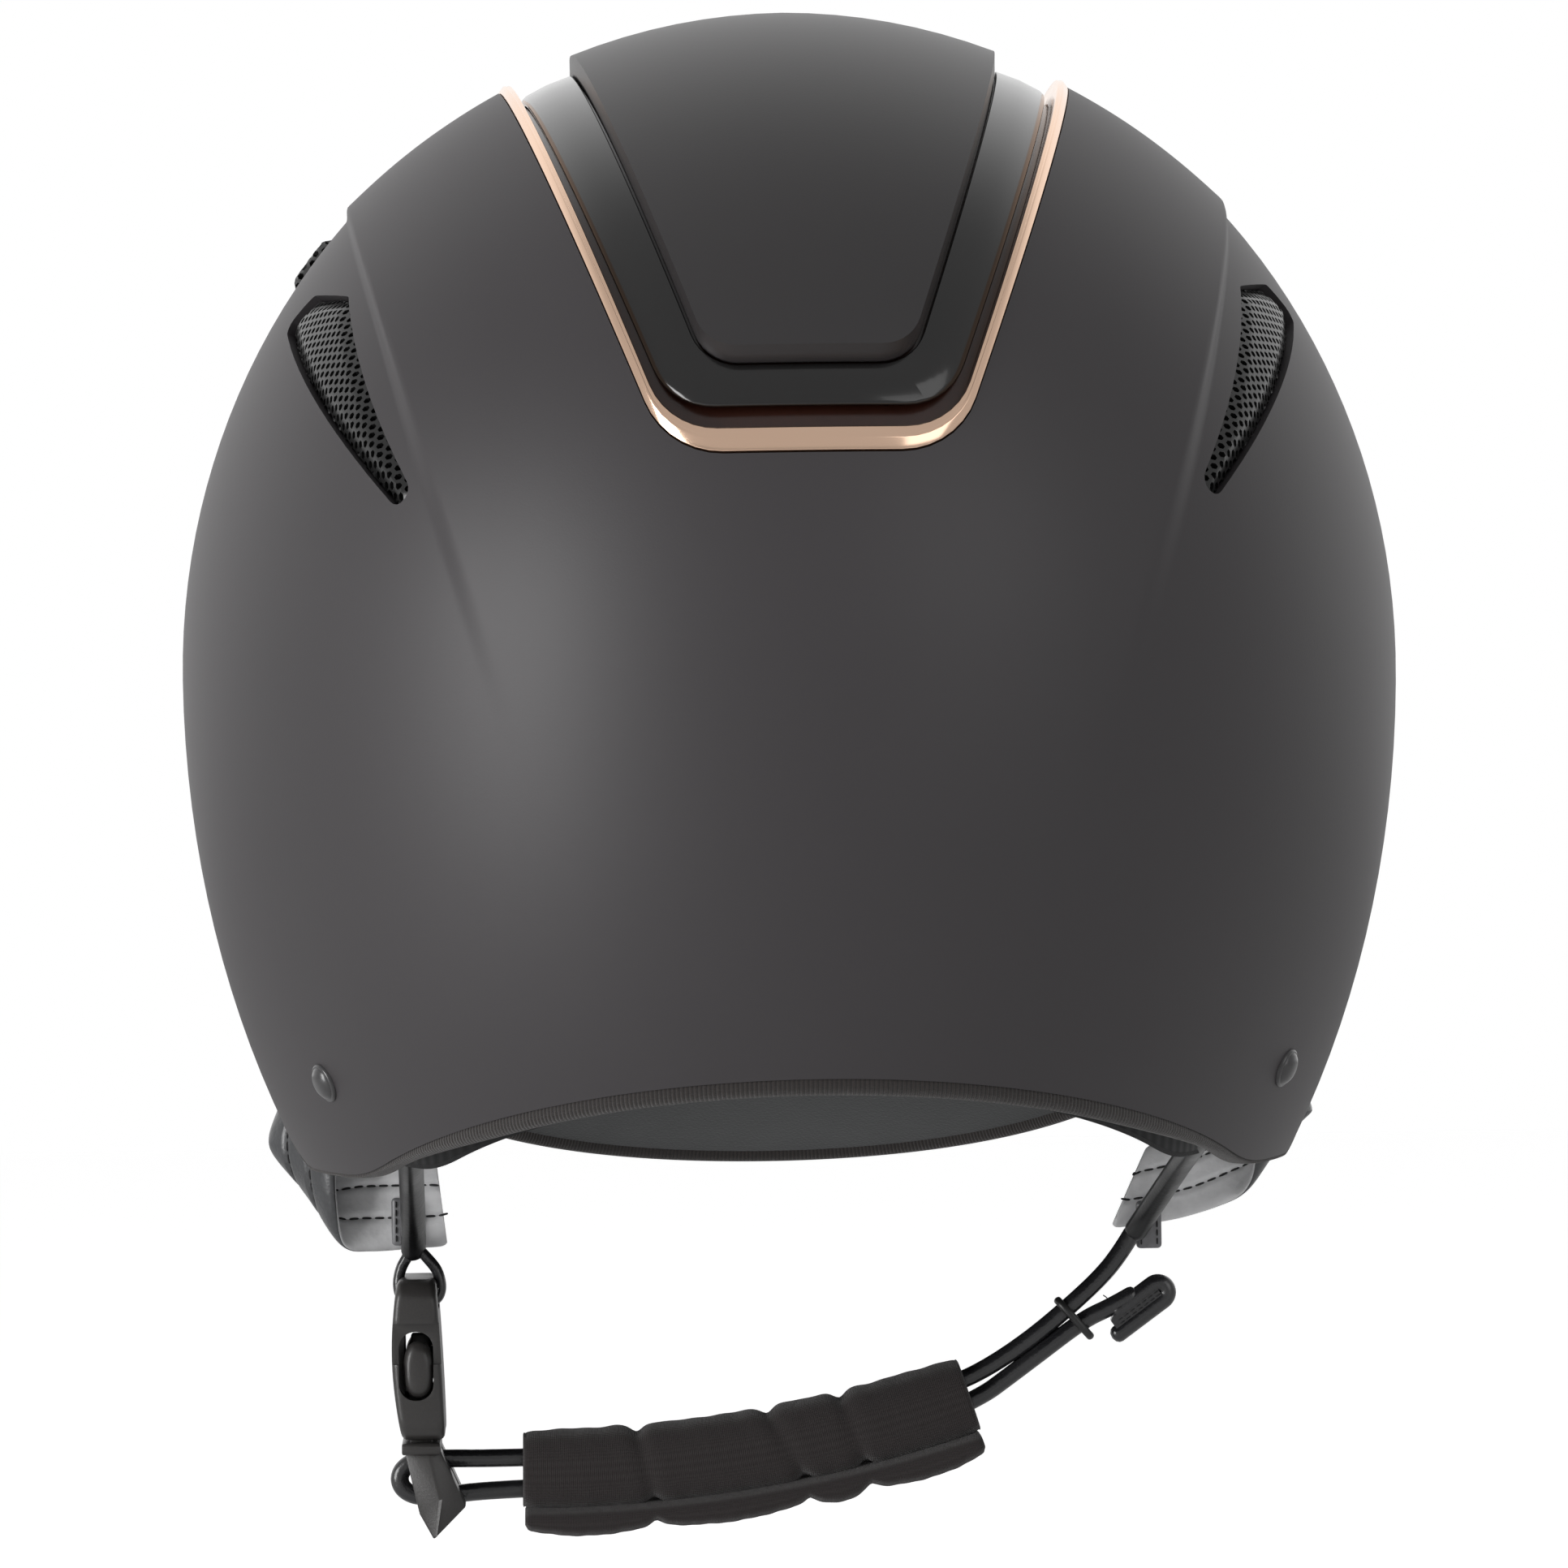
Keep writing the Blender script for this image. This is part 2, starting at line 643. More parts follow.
wandering_gloss(black_gloss, shader, noise(black_gloss, 60, 4), 0.10, 0.22)
fit(band, black_gloss, "gloss_black", "helmet", "crown_frame")


# ---------------------------------------------------------------- crown panel
# The raised middle strip over the crown, moulded in the shell's matt finish, with
# a broad bevel down to the frame at its ends and a narrow one at its sides.
panel_lift = 0.0006
bevel_wide = 0.0030
bevel_narrow = 0.0011
lean_over = bevel_wide * (panel_outline[1] - panel_outline[0]) / (crown_top - panel_outline[2])
panel_face = (
    panel_outline[0] + lean_over - bevel_narrow,
    panel_outline[1] - bevel_narrow,
    panel_outline[2] + bevel_wide,
    panel_outline[3] - 0.0012,
)
panel_section = (
    (panel_outline, insert_foot),
    (panel_outline, -frame_sink + 0.0002),
    (part_way(panel_outline, panel_face, 0.05), -frame_sink + 0.0006),
    (part_way(panel_outline, panel_face, 0.5), -0.0009),
    (part_way(panel_outline, panel_face, 0.9), panel_lift - 0.0003),
    (panel_face, panel_lift),
)
panel_loops = [crown_loop(outline, lift) for outline, lift in panel_section]
panel = closed_ring("crown_panel_strip", panel_loops)


def spot_key(spot):
    """A point, rounded so that it can be looked up."""
    return tuple(round(c, 5) for c in spot)


# The ring's inner wall goes, because the panel's face closes the ring.
face_keys = {spot_key(spot) for spot in panel_loops[-1]}
foot_keys = {spot_key(spot) for spot in panel_loops[0]}
for face in panel.data.polygons:
    keys = {spot_key(panel.data.vertices[i].co) for i in face.vertices}
    face.select = bool(keys & face_keys) and bool(keys & foot_keys)
bpy.ops.object.mode_set(mode="EDIT")
bpy.ops.mesh.delete(type="FACE")
bpy.ops.object.mode_set(mode="OBJECT")

face_loop = panel_loops[-1]
quarter_count = end_steps + 1 + corner_steps + side_steps
mirrored_end = [Vector((-p.x, p.y, p.z)) for p in reversed(face_loop[1 : end_steps + 1])]
panel_rows = [mirrored_end + face_loop[: end_steps + 1]]
for spot in face_loop[end_steps + 1 : quarter_count]:
    angle = math.atan2(spot.z - equator, -spot.y)
    row = []
    for j in range(-end_steps, end_steps + 1):
        if abs(j) == end_steps:
            row.append(Vector((math.copysign(spot.x, j), spot.y, spot.z)))
            continue
        reach = math.hypot(spot.y, spot.z - equator)
        for _ in range(10):
            here = Vector((spot.x * j / end_steps, -reach * math.cos(angle), equator + reach * math.sin(angle)))
            reach += shell_reach((here - centre).normalized()) + panel_lift - (here - centre).length
        row.append(here)
    panel_rows.append(row)
panel_rows += [[Vector((p.x, -p.y, p.z)) for p in row] for row in reversed(panel_rows[:-1])]
panel_sheet = grid_piece("panel_sheet", panel_rows)


def joined(name, pieces):
    """Join pieces into one mesh."""
    bpy.ops.object.select_all(action="DESELECT")
    for piece in pieces:
        piece.select_set(True)
    bpy.context.view_layer.objects.active = pieces[0]
    bpy.ops.object.join()
    pieces[0].name = name
    return pieces[0]


panel = joined("crown_panel_strip", [panel, panel_sheet])
tidy(panel)
finished(panel, 40)
panel_coat = matt_coat("panel_coat", 0.42, 18, (0.0225, 0.0205, 0.0215), (0.0285, 0.0262, 0.0275))
fit(panel, panel_coat, "shell", "helmet", "crown_panel")


# ---------------------------------------------------------------- vent screens
# Each vent holds a moulded honeycomb of satin black plastic, edged by a thin
# bezel. The rear ones sit below the shell's face, the front ones bow out past it.
mesh_pitch = 0.0019
cell_reach = mesh_pitch / math.sqrt(3)
mesh_wall = 0.00042
bezel_wide = 0.0008
swell_run = 0.003
mesh_depth = 0.0009
screen_gap = 0.0002
screen_sinks = {"rear": 0.0004, "front": -0.0026}
bulges = {"rear": 0.0013, "front": 0.0030}


def inside_by(point, outline):
    """How far a point lies inside a convex outline that runs anticlockwise, and the nearest edge's inward way."""
    best = None
    for a, b in zip(outline, outline[1:] + outline[:1]):
        run = b - a
        if run.length < 1e-7:
            continue
        inward = Vector((-run.y, run.x)).normalized()
        depth = (point - a).dot(inward)
        if best is None or depth < best[0]:
            best = (depth, inward)
    return best


def honeycomb(vent, edge, sink, bulge):
    """Perforated sheet inside an outline: one six-sided ring per cell, cells at the edge cut short."""
    xs = [p.x for p in edge]
    ys = [p.y for p in edge]
    row_step = mesh_pitch * math.sqrt(3) / 2
    verts = []
    faces = []
    for r in range(int((max(ys) - min(ys)) / row_step) + 3):
        for c in range(int((max(xs) - min(xs)) / mesh_pitch) + 3):
            middle = Vector((min(xs) + (c + 0.5 * (r % 2)) * mesh_pitch, min(ys) + r * row_step))
            if inside_by(middle, edge)[0] < -0.1 * mesh_pitch:
                continue
            first = len(verts)
            for radius in (cell_reach, cell_reach - mesh_wall):
                for k in range(6):
                    angle = math.radians(60 * k + 30)
                    spot = middle + radius * Vector((math.cos(angle), math.sin(angle)))
                    depth, inward = inside_by(spot, edge)
                    if depth < 0:
                        spot = spot - inward * depth
                    swell = bulge * min(1.0, max(0.0, inside_by(spot, edge)[0]) / swell_run)
                    verts.append(vent.place(spot, -sink - bulge + swell))
            for k in range(6):
                faces.append((first + k, first + (k + 1) % 6, first + 6 + (k + 1) % 6, first + 6 + k))
    return verts, faces


def mesh_piece(name, verts, faces):
    """Piece made of given faces."""
    bpy.ops.mesh.primitive_plane_add()
    piece = bpy.context.object
    piece.name = name
    piece.data.clear_geometry()
    piece.data.from_pydata([tuple(v) for v in verts], [], faces)
    return piece


mesh_paint, shader = new_paint("mesh_black", (0.010, 0.010, 0.010), 0.3)

for name, vent in vents.items():
    end = name.split("_")[0]
    sink, bulge = screen_sinks[end], bulges[end]
    edge = vent.outline(vent_round - screen_gap, 6)
    screen = mesh_piece(f"vent_mesh_{name}", *honeycomb(vent, edge, sink, bulge))
    tidy(screen)
    for face in screen.data.polygons:
        if face.normal.dot(vent.out) < 0:
            face.flip()
    wall = screen.modifiers.new("wall", "SOLIDIFY")
    wall.thickness = mesh_depth
    wall.offset = -1
    loops = []
    for grow, drop in ((0.0, 0.0032), (0.0, 0.0), (0.0004, -0.0003), (bezel_wide, 0.0), (bezel_wide, 0.0032)):
        loops.append([vent.place(p, -sink - bulge - drop) for p in vent.outline(vent_round - screen_gap - grow, 6)])
    bezel = closed_ring(f"vent_bezel_{name}", loops)
    finished(screen, 30)
    finished(bezel, 40)
    screen = joined(f"vent_mesh_{name}", [screen, bezel])
    fit(screen, mesh_paint, "screen", "helmet", f"vent_screen_{name}")


# ---------------------------------------------------------------- studs
# Snap rivets through the shell hold the straps: a domed cap with a rolled rim.
mm = 0.001
stud_profile = ((0.0, 1.75), (1.0, 1.70), (1.9, 1.48), (2.6, 1.08), (2.95, 0.75), (3.05, 0.58), (3.2, 0.62))
stud_profile += ((3.45, 0.5), (3.6, 0.25), (3.6, -0.3), (0.0, -0.3))
stud_spots = {"rear": (-0.0615, 0.0200), "front": (0.0360, 0.0210)}


def shaped(name, rows, smooth_angle):
    """Finished piece whose vertices lie on rows of points."""
    piece = grid_piece(name, rows)
    tidy(piece)
    return finished(piece, smooth_angle)


def turned(name, profile, origin, axis, steps=40):
    """Piece turned about an axis from (radius, height) points in millimetres."""
    side = axis.orthogonal().normalized()
    other = axis.cross(side)
    rows = []
    for k in range(steps + 1):
        angle = 2 * math.pi * (k % steps) / steps
        out = side * math.cos(angle) + other * math.sin(angle)
        rows.append([origin + out * r * mm + axis * h * mm for r, h in profile])
    return shaped(name, rows, 45)


stud_dark, stud_light = (0.028, 0.027, 0.028), (0.046, 0.045, 0.047)
stud_paint, shader = new_paint("stud_black", stud_dark, 0.30, Coat_Weight=0.4, Coat_Roughness=0.2)
tinted(stud_paint, shader, noise(stud_paint, 500, 4), stud_dark, stud_light)
for word, (y, z) in stud_spots.items():
    drop = shell_rise if z > equator else shell_drop
    x = shell_half[0] * math.sqrt(1 - (y / shell_half[1]) ** 2 - ((z - equator) / drop) ** 2)
    caps = []
    for side in (-1, 1):
        spot = Vector((side * x, y, z))
        caps.append(turned(f"stud_cap_{word}_{side}", stud_profile, spot, shell_normal(spot)))
    fit(joined(f"stud_caps_{word}", caps), stud_paint, "stud", "helmet", f"{word}_studs")


# ---------------------------------------------------------------- edge binding
# Ribbed woven tape, rolled over the shell's lower edge and glued.
rim_count = 420
rim_line = []
for i in range(720):
    way = math.radians(i / 2 + 90)
    z = 0.01
    for _ in range(30):
        flat = math.sqrt(1 - ((z - equator) / shell_drop) ** 2)
        spread = math.hypot(math.cos(way) / shell_half[0], math.sin(way) / shell_half[1])
        spot = Vector((math.cos(way) / spread * flat, math.sin(way) / spread * flat, z))
        z += 0.7 * (rim_height(spot.y) - z)
    rim_line.append(Vector((spot.x, spot.y, z)))


def evenly(points, count, closed=True):
    """The same line with its points evenly spaced."""
    line = points + points[:1] if closed else points
    lengths = [0.0]
    for a, b in zip(line, line[1:]):
        lengths.append(lengths[-1] + (b - a).length)
    total = lengths[-1]
    spots = []
    at = 0
    for i in range(count):
        target = total * i / (count if closed else count - 1)
        while at < len(lengths) - 2 and lengths[at + 1] < target:
            at += 1
        share = (target - lengths[at]) / max(1e-9, lengths[at + 1] - lengths[at])
        spots.append(line[at].lerp(line[at + 1], share))
    return spots, total


rim_points, rim_length = evenly(rim_line, rim_count)
binding_loops = []
binding_sides = 14
tape_inset = 0.0020
tape_half = 0.0018
tape_high = 0.0022
tape_low = 0.0030
for k in range(binding_sides):
    angle = 2 * math.pi * k / binding_sides
    loop = []
    for spot in rim_points:
        out = shell_normal(spot)
        out = Vector((out.x, out.y, 0)).normalized()
        hang = tape_low * (0.25 + 0.75 * eased((spot.z - 0.0035) / 0.012))
        up = tape_high if math.sin(angle) > 0 else hang - 0.0006
        shift = out * (tape_half * math.cos(angle) - tape_inset)
        loop.append(spot + shift + Vector((0, 0, up * math.sin(angle) - 0.0005)))
    binding_loops.append(loop)
binding = closed_ring("rim_binding", binding_loops)
finished(binding, 60)


tape_dark, tape_light = (0.009, 0.0065, 0.006), (0.026, 0.020, 0.018)
rib_pitch = 0.0008
wave_per_rib = 0.31416


def ribbed_tape(name, length):
    """Woven tape paint: fine ribs across the tape, by its own UV map, and a fuzzy thread colour."""
    paint, shader = new_paint(name, tape_dark, 0.85, Sheen_Weight=0.25)
    nodes, links = paint.node_tree.nodes, paint.node_tree.links
    place = nodes.new("ShaderNodeTexCoord").outputs["UV"]
    wave = nodes.new("ShaderNodeTexWave")
    wave.bands_direction = "Y"
    wave.inputs["Scale"].default_value = length / rib_pitch * wave_per_rib
    wave.inputs["Distortion"].default_value = 1.2
    wave.inputs["Detail"].default_value = 2
    wave.inputs["Detail Scale"].default_value = 2
    links.new(place, wave.inputs["Vector"])
    tinted(paint, shader, wave.outputs["Fac"], tape_dark, tape_light)
    add_bump(paint, shader, wave.outputs["Fac"], 0.7, 0.0002)
    return paint


fit(binding, ribbed_tape("rim_tape", rim_length), "piping", "helmet", "edge_binding")


# ---------------------------------------------------------------- peak
# A stiff arched peak in the shell's matt finish, lined below with suede cloth and
# bound round its free edge with the same woven tape as the rim.
peak_slope = math.radians(33)
peak_front = (0.168, -0.007)
peak_half = 0.092
peak_middle_y = 0.035
peak_arch = 0.150
lining_thick = 0.0014
core_thick = 0.0032
tape_width = 0.0024
tape_proud = 0.0008
peak_steps = 90


def peak_height(x, y, above):
    """Height of the peak at a place in plan, above its lower face."""
    radius = peak_arch + above
    sag = radius - math.sqrt(radius**2 - x**2)
    return peak_front[1] + (peak_front[0] - y) * math.tan(peak_slope) + above - sag


def peak_edge(angle, shrink):
    """Plan point of the peak's outline, drawn in by shrink."""
    reach = peak_front[0] - peak_middle_y - shrink
    return Vector(((peak_half - shrink) * math.cos(angle), peak_middle_y + reach * math.sin(angle), 0))


def off_shell(spot):
    """How far a point lies outside the shell's outer face."""
    return (spot - centre).length - shell_reach((spot - centre).normalized())


def peak_spot(angle, share, shrink, above):
    """Point of the peak between its outline and the shell."""
    edge = peak_edge(angle, shrink)
    root = Vector((0, peak_middle_y, 0))
    high, low = 0.0, 1.0
    for _ in range(24):
        middle = (high + low) / 2
        spot = edge.lerp(root, middle)
        spot.z = peak_height(spot.x, spot.y, above)
        if off_shell(spot) > -0.0012:
            high = middle
        else:
            low = middle
    spot = edge.lerp(root, high * share)
    spot.z = peak_height(spot.x, spot.y, above)
    return spot


def first_angle(shrink, above):
    """Angle at which the peak's outline comes out of the shell."""
    low, high = 0.0, math.pi / 2
    for _ in range(24):
        middle = (low + high) / 2
        spot = peak_edge(middle, shrink)
        spot.z = peak_height(spot.x, spot.y, above)
        if off_shell(spot) > 0.0:
            high = middle
        else:
            low = middle
    return low


def peak_layer(name, low, high, swell):
    """Closed plate of the peak between two heights over its lower face."""
    start = first_angle(tape_width, (low + high) / 2)
    rows = []
    for i in range(peak_steps + 1):
        angle = start + (math.pi - 2 * start) * i / peak_steps
        over = [peak_spot(angle, j / 10, tape_width - 0.0005, high) for j in range(11)]
        under = [peak_spot(angle, j / 10, tape_width - 0.0005, low) for j in range(10, -1, -1)]
        for j, spot in enumerate(under):
            spot.z -= swell * math.sin(math.pi * min(1, j / 10)) * 0.5
        rows.append(over + under + over[:1])
    return shaped(name, rows, 40)


peak_core = peak_layer("peak_plate", lining_thick, lining_thick + core_thick, 0)
fit(peak_core, soft_coat, "shell", "helmet", "peak_core")
peak_lining = peak_layer("peak_suede", 0.0001, lining_thick, 0.0006)


def effect(name, inputs, outputs):
    """Empty shader node group with named inputs and outputs."""
    group = bpy.data.node_groups.new(name, "ShaderNodeTree")
    for label, kind, value in inputs:
        socket = group.interface.new_socket(label, in_out="INPUT", socket_type=kind)
        if value is not None:
            socket.default_value = value
    for label, kind in outputs:
        group.interface.new_socket(label, in_out="OUTPUT", socket_type=kind)
    return group, group.nodes.new("NodeGroupInput"), group.nodes.new("NodeGroupOutput")


def math_node(group, operation, *values):
    """Math node fed by sockets or numbers."""
    node = group.nodes.new("ShaderNodeMath")
    node.operation = operation
    for i, value in enumerate(values):
        if isinstance(value, (int, float)):
            node.inputs[i].default_value = value
        else:
            group.links.new(value, node.inputs[i])
    return node.outputs[0]


def group_noise(group, vector, scale, detail=3):
    """Value of a noise texture inside a node group."""
    node = group.nodes.new("ShaderNodeTexNoise")
    node.inputs["Detail"].default_value = detail
    group.links.new(vector, node.inputs["Vector"])
    group.links.new(scale, node.inputs["Scale"])
    return node.outputs["Fac"]


# Fine nap: two scales of soft noise, for suede and brushed cloth.
nap, nap_in, nap_out = effect(
    "nap",
    [("Vector", "NodeSocketVector", None), ("Scale", "NodeSocketFloat", 1500.0)],
    [("Height", "NodeSocketFloat"), ("Shade", "NodeSocketFloat")],
)
nap_place, nap_scale = nap_in.outputs["Vector"], nap_in.outputs["Scale"]
fine = group_noise(nap, nap_place, nap_scale)
broad = group_noise(nap, nap_place, math_node(nap, "MULTIPLY", nap_scale, 0.06))
nap.links.new(fine, nap_out.inputs["Height"])
mixed = math_node(nap, "MULTIPLY_ADD", broad, 0.7, math_node(nap, "MULTIPLY", fine, 0.3))
nap.links.new(mixed, nap_out.inputs["Shade"])


def place_effect(paint, group, vector, **values):
    """Put a node group into a paint with its own values."""
    node = paint.node_tree.nodes.new("ShaderNodeGroup")
    node.node_tree = group
    paint.node_tree.links.new(vector, node.inputs["Vector"])
    for label, value in values.items():
        node.inputs[label.replace("_", " ")].default_value = value
    return node


def uv_point(paint):
    """UV coordinates of a paint."""
    return paint.node_tree.nodes.new("ShaderNodeTexCoord").outputs["UV"]


suede_dark, suede_light = (0.022, 0.0235, 0.0245), (0.040, 0.0415, 0.043)
suede, shader = new_paint(
    "peak_suede", suede_dark, 0.95, Sheen_Weight=0.35, Sheen_Roughness=0.5, Specular_IOR_Level=0.2
)
cloth = place_effect(suede, nap, object_point(suede), Scale=1800.0)
tinted(suede, shader, cloth.outputs["Shade"], suede_dark, suede_light)
add_bump(suede, shader, cloth.outputs["Height"], 0.5, 0.0002)
fit(peak_lining, suede, "peak_fabric", "helmet", "peak_lining")


def line_frames(points, closed=False):
    """Two directions across a line at each of its points, carried along without twist."""
    count = len(points)
    runs = []
    for i in range(count):
        before = points[i - 1] if closed or i else points[0]
        after = points[(i + 1) % count] if closed or i < count - 1 else points[-1]
        runs.append((after - before).normalized())
    side = runs[0].orthogonal().normalized()
    frames = []
    for run in runs:
        side = (side - run * side.dot(run)).normalized()
        frames.append((run, side, run.cross(side)))
    return frames


def tube(name, points, radius, sides=16, flat=1.0, caps=True, frames=None):
    """Round or oval tube along a line, with rounded ends."""
    frames = frames or line_frames(points)
    rows = []
    count = len(points)
    stretch = [(points[0], frames[0], share, -1) for share in (0.0, 0.55, 0.88)] if caps else []
    stretch += [(spot, way, 1.0, 0) for spot, way in zip(points, frames)]
    stretch += [(points[-1], frames[-1], share, 1) for share in (0.88, 0.55, 0.0)] if caps else []
    for spot, (run, side, other), share, end in stretch:
        spot = spot + run * end * radius * math.sqrt(1 - share**2) * 0.8
        row = []
        for k in range(sides + 1):
            angle = 2 * math.pi * (k % sides) / sides
            row.append(spot + side * radius * share * math.cos(angle) + other * radius * flat * share * math.sin(angle))
        rows.append(row)
    return shaped(name, rows, 60)


edge_start = first_angle(tape_width / 2, 0.002) - 0.02
edge_angles = [edge_start + (math.pi - 2 * edge_start) * i / 260 for i in range(261)]
tape_middle = (lining_thick + core_thick) / 2
tape_line = []
for angle in edge_angles:
    spot = peak_edge(angle, tape_width / 2)
    spot.z = peak_height(spot.x, spot.y, tape_middle)
    tape_line.append(spot)
tape_line, tape_length = evenly(tape_line, 320, closed=False)
tape_frames = []
for run, side, other in line_frames(tape_line):
    out = Vector((run.y, -run.x, 0)).normalized()
    tape_frames.append((run, out, run.cross(out)))
tape_flat = (tape_middle + tape_proud) / (tape_width / 2)
peak_tape = tube("peak_tape", tape_line, tape_width / 2 + 0.0002, flat=tape_flat, frames=tape_frames)
fit(peak_tape, ribbed_tape("peak_tape", tape_length), "piping", "helmet", "peak_binding")


# ---------------------------------------------------------------- foam liner
# Moulded beads of expanded foam, sprayed black.
bead_light, bead_dark = (0.036, 0.036, 0.038), (0.014, 0.014, 0.015)
foam, shader = new_paint("foam_beads", bead_light, 0.75)
beads = foam.node_tree.nodes.new("ShaderNodeTexVoronoi")
beads.inputs["Scale"].default_value = 330
foam.node_tree.links.new(object_point(foam), beads.inputs["Vector"])
tinted(foam, shader, beads.outputs["Distance"], bead_light, bead_dark)
dome = math_node(foam.node_tree, "SUBTRACT", 1.0, beads.outputs["Distance"])
add_bump(foam, shader, dome, 0.6, 0.0006)
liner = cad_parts["foam_liner"]
liner.data.materials.clear()
liner.data.materials.append(foam)


# ---------------------------------------------------------------- comfort padding
# Knitted pads over soft foam: a band round the brow, a band round the nape and
# a cross over the crown, each quilted in channels and held inside the liner.
cavity_half = (0.084, 0.106)
cavity_rise = 0.088
cavity_drop = 0.230
pad_gap = 0.0003
pad_thick = 0.005
band_top = 0.050
band_split = -0.013


def cavity_spot(way, z, inset):
    """Point inside the head cavity: a plan angle, a height and a distance in from its wall."""
    drop = cavity_rise if z > equator else cavity_drop
    flat = math.sqrt(max(0.0, 1 - ((z - equator) / drop) ** 2))
    x = cavity_half[0] * math.cos(way) * flat
    y = cavity_half[1] * math.sin(way) * flat
    out = Vector((x / cavity_half[0] ** 2, y / cavity_half[1] ** 2, (z - equator) / drop**2)).normalized()
    return Vector((x, y, z)) - out * inset


def quilt(share, channels):
    """Height of a quilted surface: full between the sewn lines, low on them."""
    return abs(math.sin(math.pi * channels * share)) ** 0.35


def cavity_band(name, first, last, channels):
    """Quilted pad on the cavity's wall between two plan angles."""
    rows = []
    steps = channels * 16
    for i in range(steps + 1):
        share = i / steps
        way = first + (last - first) * share
        base = cavity_spot(way, 0.01, 0)
        low = rim_height(base.y * 1.12) + 0.0004
        end = min(1.0, min(share, 1 - share) * steps / 5)
        end = math.sqrt(1 - (1 - end) ** 2)
        row = [cavity_spot(way, low + 0.0008, pad_gap), cavity_spot(way, band_top - 0.0008, pad_gap)]
        for j in range(17):
            up = 1 - j / 16
            pillow = (1 - (2 * up - 1) ** 8) ** 0.5
            puff = pillow * (0.72 + 0.28 * quilt(share, channels) * quilt(up, 2)) * end
            row.append(cavity_spot(way, low + (band_top - low) * up, pad_gap + pad_thick * max(0.02, puff)))
        rows.append(row + row[:1])
    return shaped(name, rows, 70)


knit, knit_in, knit_out = effect(
    "knit",
    [("Vector", "NodeSocketVector", None), ("Across", "NodeSocketFloat", 900.0), ("Along", "NodeSocketFloat", 900.0)],
    [("Height", "NodeSocketFloat"), ("Shade", "NodeSocketFloat")],
)
parts = knit.nodes.new("ShaderNodeSeparateXYZ")
knit.links.new(knit_in.outputs["Vector"], parts.inputs[0])
row_wave = math_node(knit, "SINE", math_node(knit, "MULTIPLY", parts.outputs["X"], knit_in.outputs["Across"]))
column_wave = math_node(knit, "SINE", math_node(knit, "MULTIPLY", parts.outputs["Y"], knit_in.outputs["Along"]))
stitch = math_node(knit, "MULTIPLY_ADD", row_wave, 0.25, math_node(knit, "MULTIPLY_ADD", column_wave, 0.25, 0.5))
fuzz = group_noise(knit, knit_in.outputs["Vector"], math_node(knit, "MULTIPLY", knit_in.outputs["Across"], 0.2))
knit.links.new(stitch, knit_out.inputs["Height"])
faded = math_node(knit, "MULTIPLY_ADD", fuzz, 0.6, math_node(knit, "MULTIPLY", stitch, 0.4))
knit.links.new(faded, knit_out.inputs["Shade"])


def knit_paint(name, dark, light, across, along, depth, sheen=0.3):
    """Knitted cloth paint on a piece's own UV map."""
    paint, shader = new_paint(
        name, dark, 0.92, Sheen_Weight=sheen, Sheen_Roughness=0.45, Specular_IOR_Level=0.25
    )
    cloth = place_effect(paint, knit, uv_point(paint), Across=across, Along=along)
    tinted(paint, shader, cloth.outputs["Shade"], dark, light)
    add_bump(paint, shader, cloth.outputs["Height"], 0.6, depth)
    return paint


lining_knit = knit_paint("lining_knit", (0.012, 0.012, 0.013), (0.034, 0.034, 0.036), 1400.0, 420.0, 0.0003)
split = math.asin(band_split / 0.104)
brow_band = cavity_band("brow_pad", split + 0.004, math.pi - split - 0.004, 14)
fit(brow_band, lining_knit, "lining", "helmet", "forehead_band")
nape_band = cavity_band("nape_pad_quilt", math.pi - split + 0.012, 2 * math.pi + split - 0.012, 12)
fit(nape_band, lining_knit, "lining", "helmet", "nape_pad")

crown_low = 0.160
crown_arm = 0.030
crown_channel = 0.016
crown_turns = 144
crown_rings = 14
crown_rows = []
crown_flat = math.sqrt(1 - ((crown_low - equator) / cavity_rise) ** 2)
for i in range(crown_turns + 1):
    way = 2 * math.pi * (i % crown_turns) / crown_turns
    c, s = math.cos(way), math.sin(way)
    rim_reach = crown_flat / math.hypot(c / cavity_half[0], s / cavity_half[1])
    arm_reach = max(crown_arm / max(abs(c), 1e-6), crown_arm / max(abs(s), 1e-6))
    edge = min(rim_reach, arm_reach) * 0.985
    row = []
    for inset, rings in ((0, range(crown_rings + 1)), (1, range(crown_rings, -1, -1))):
        for k in rings:
            share = math.sin(math.pi / 2 * k / crown_rings)
            x, y = edge * share * c, edge * share * s
            z = equator + cavity_rise * math.sqrt(1 - (x / cavity_half[0]) ** 2 - (y / cavity_half[1]) ** 2)
            puff = (1 - share**10) ** 0.5
            channel = 0.7 + 0.3 * abs(math.sin(math.pi * (math.hypot(x, y) / crown_channel))) ** 0.4
            depth = pad_gap + inset * pad_thick * max(0.02, puff * channel)
            spot = Vector((x, y, z))
            row.append(spot - (spot - centre).normalized() * depth)
    crown_rows.append(row)
crown_quilt = shaped("crown_pad_quilt", crown_rows, 70)
fit(crown_quilt, lining_knit, "lining", "helmet", "crown_pad")


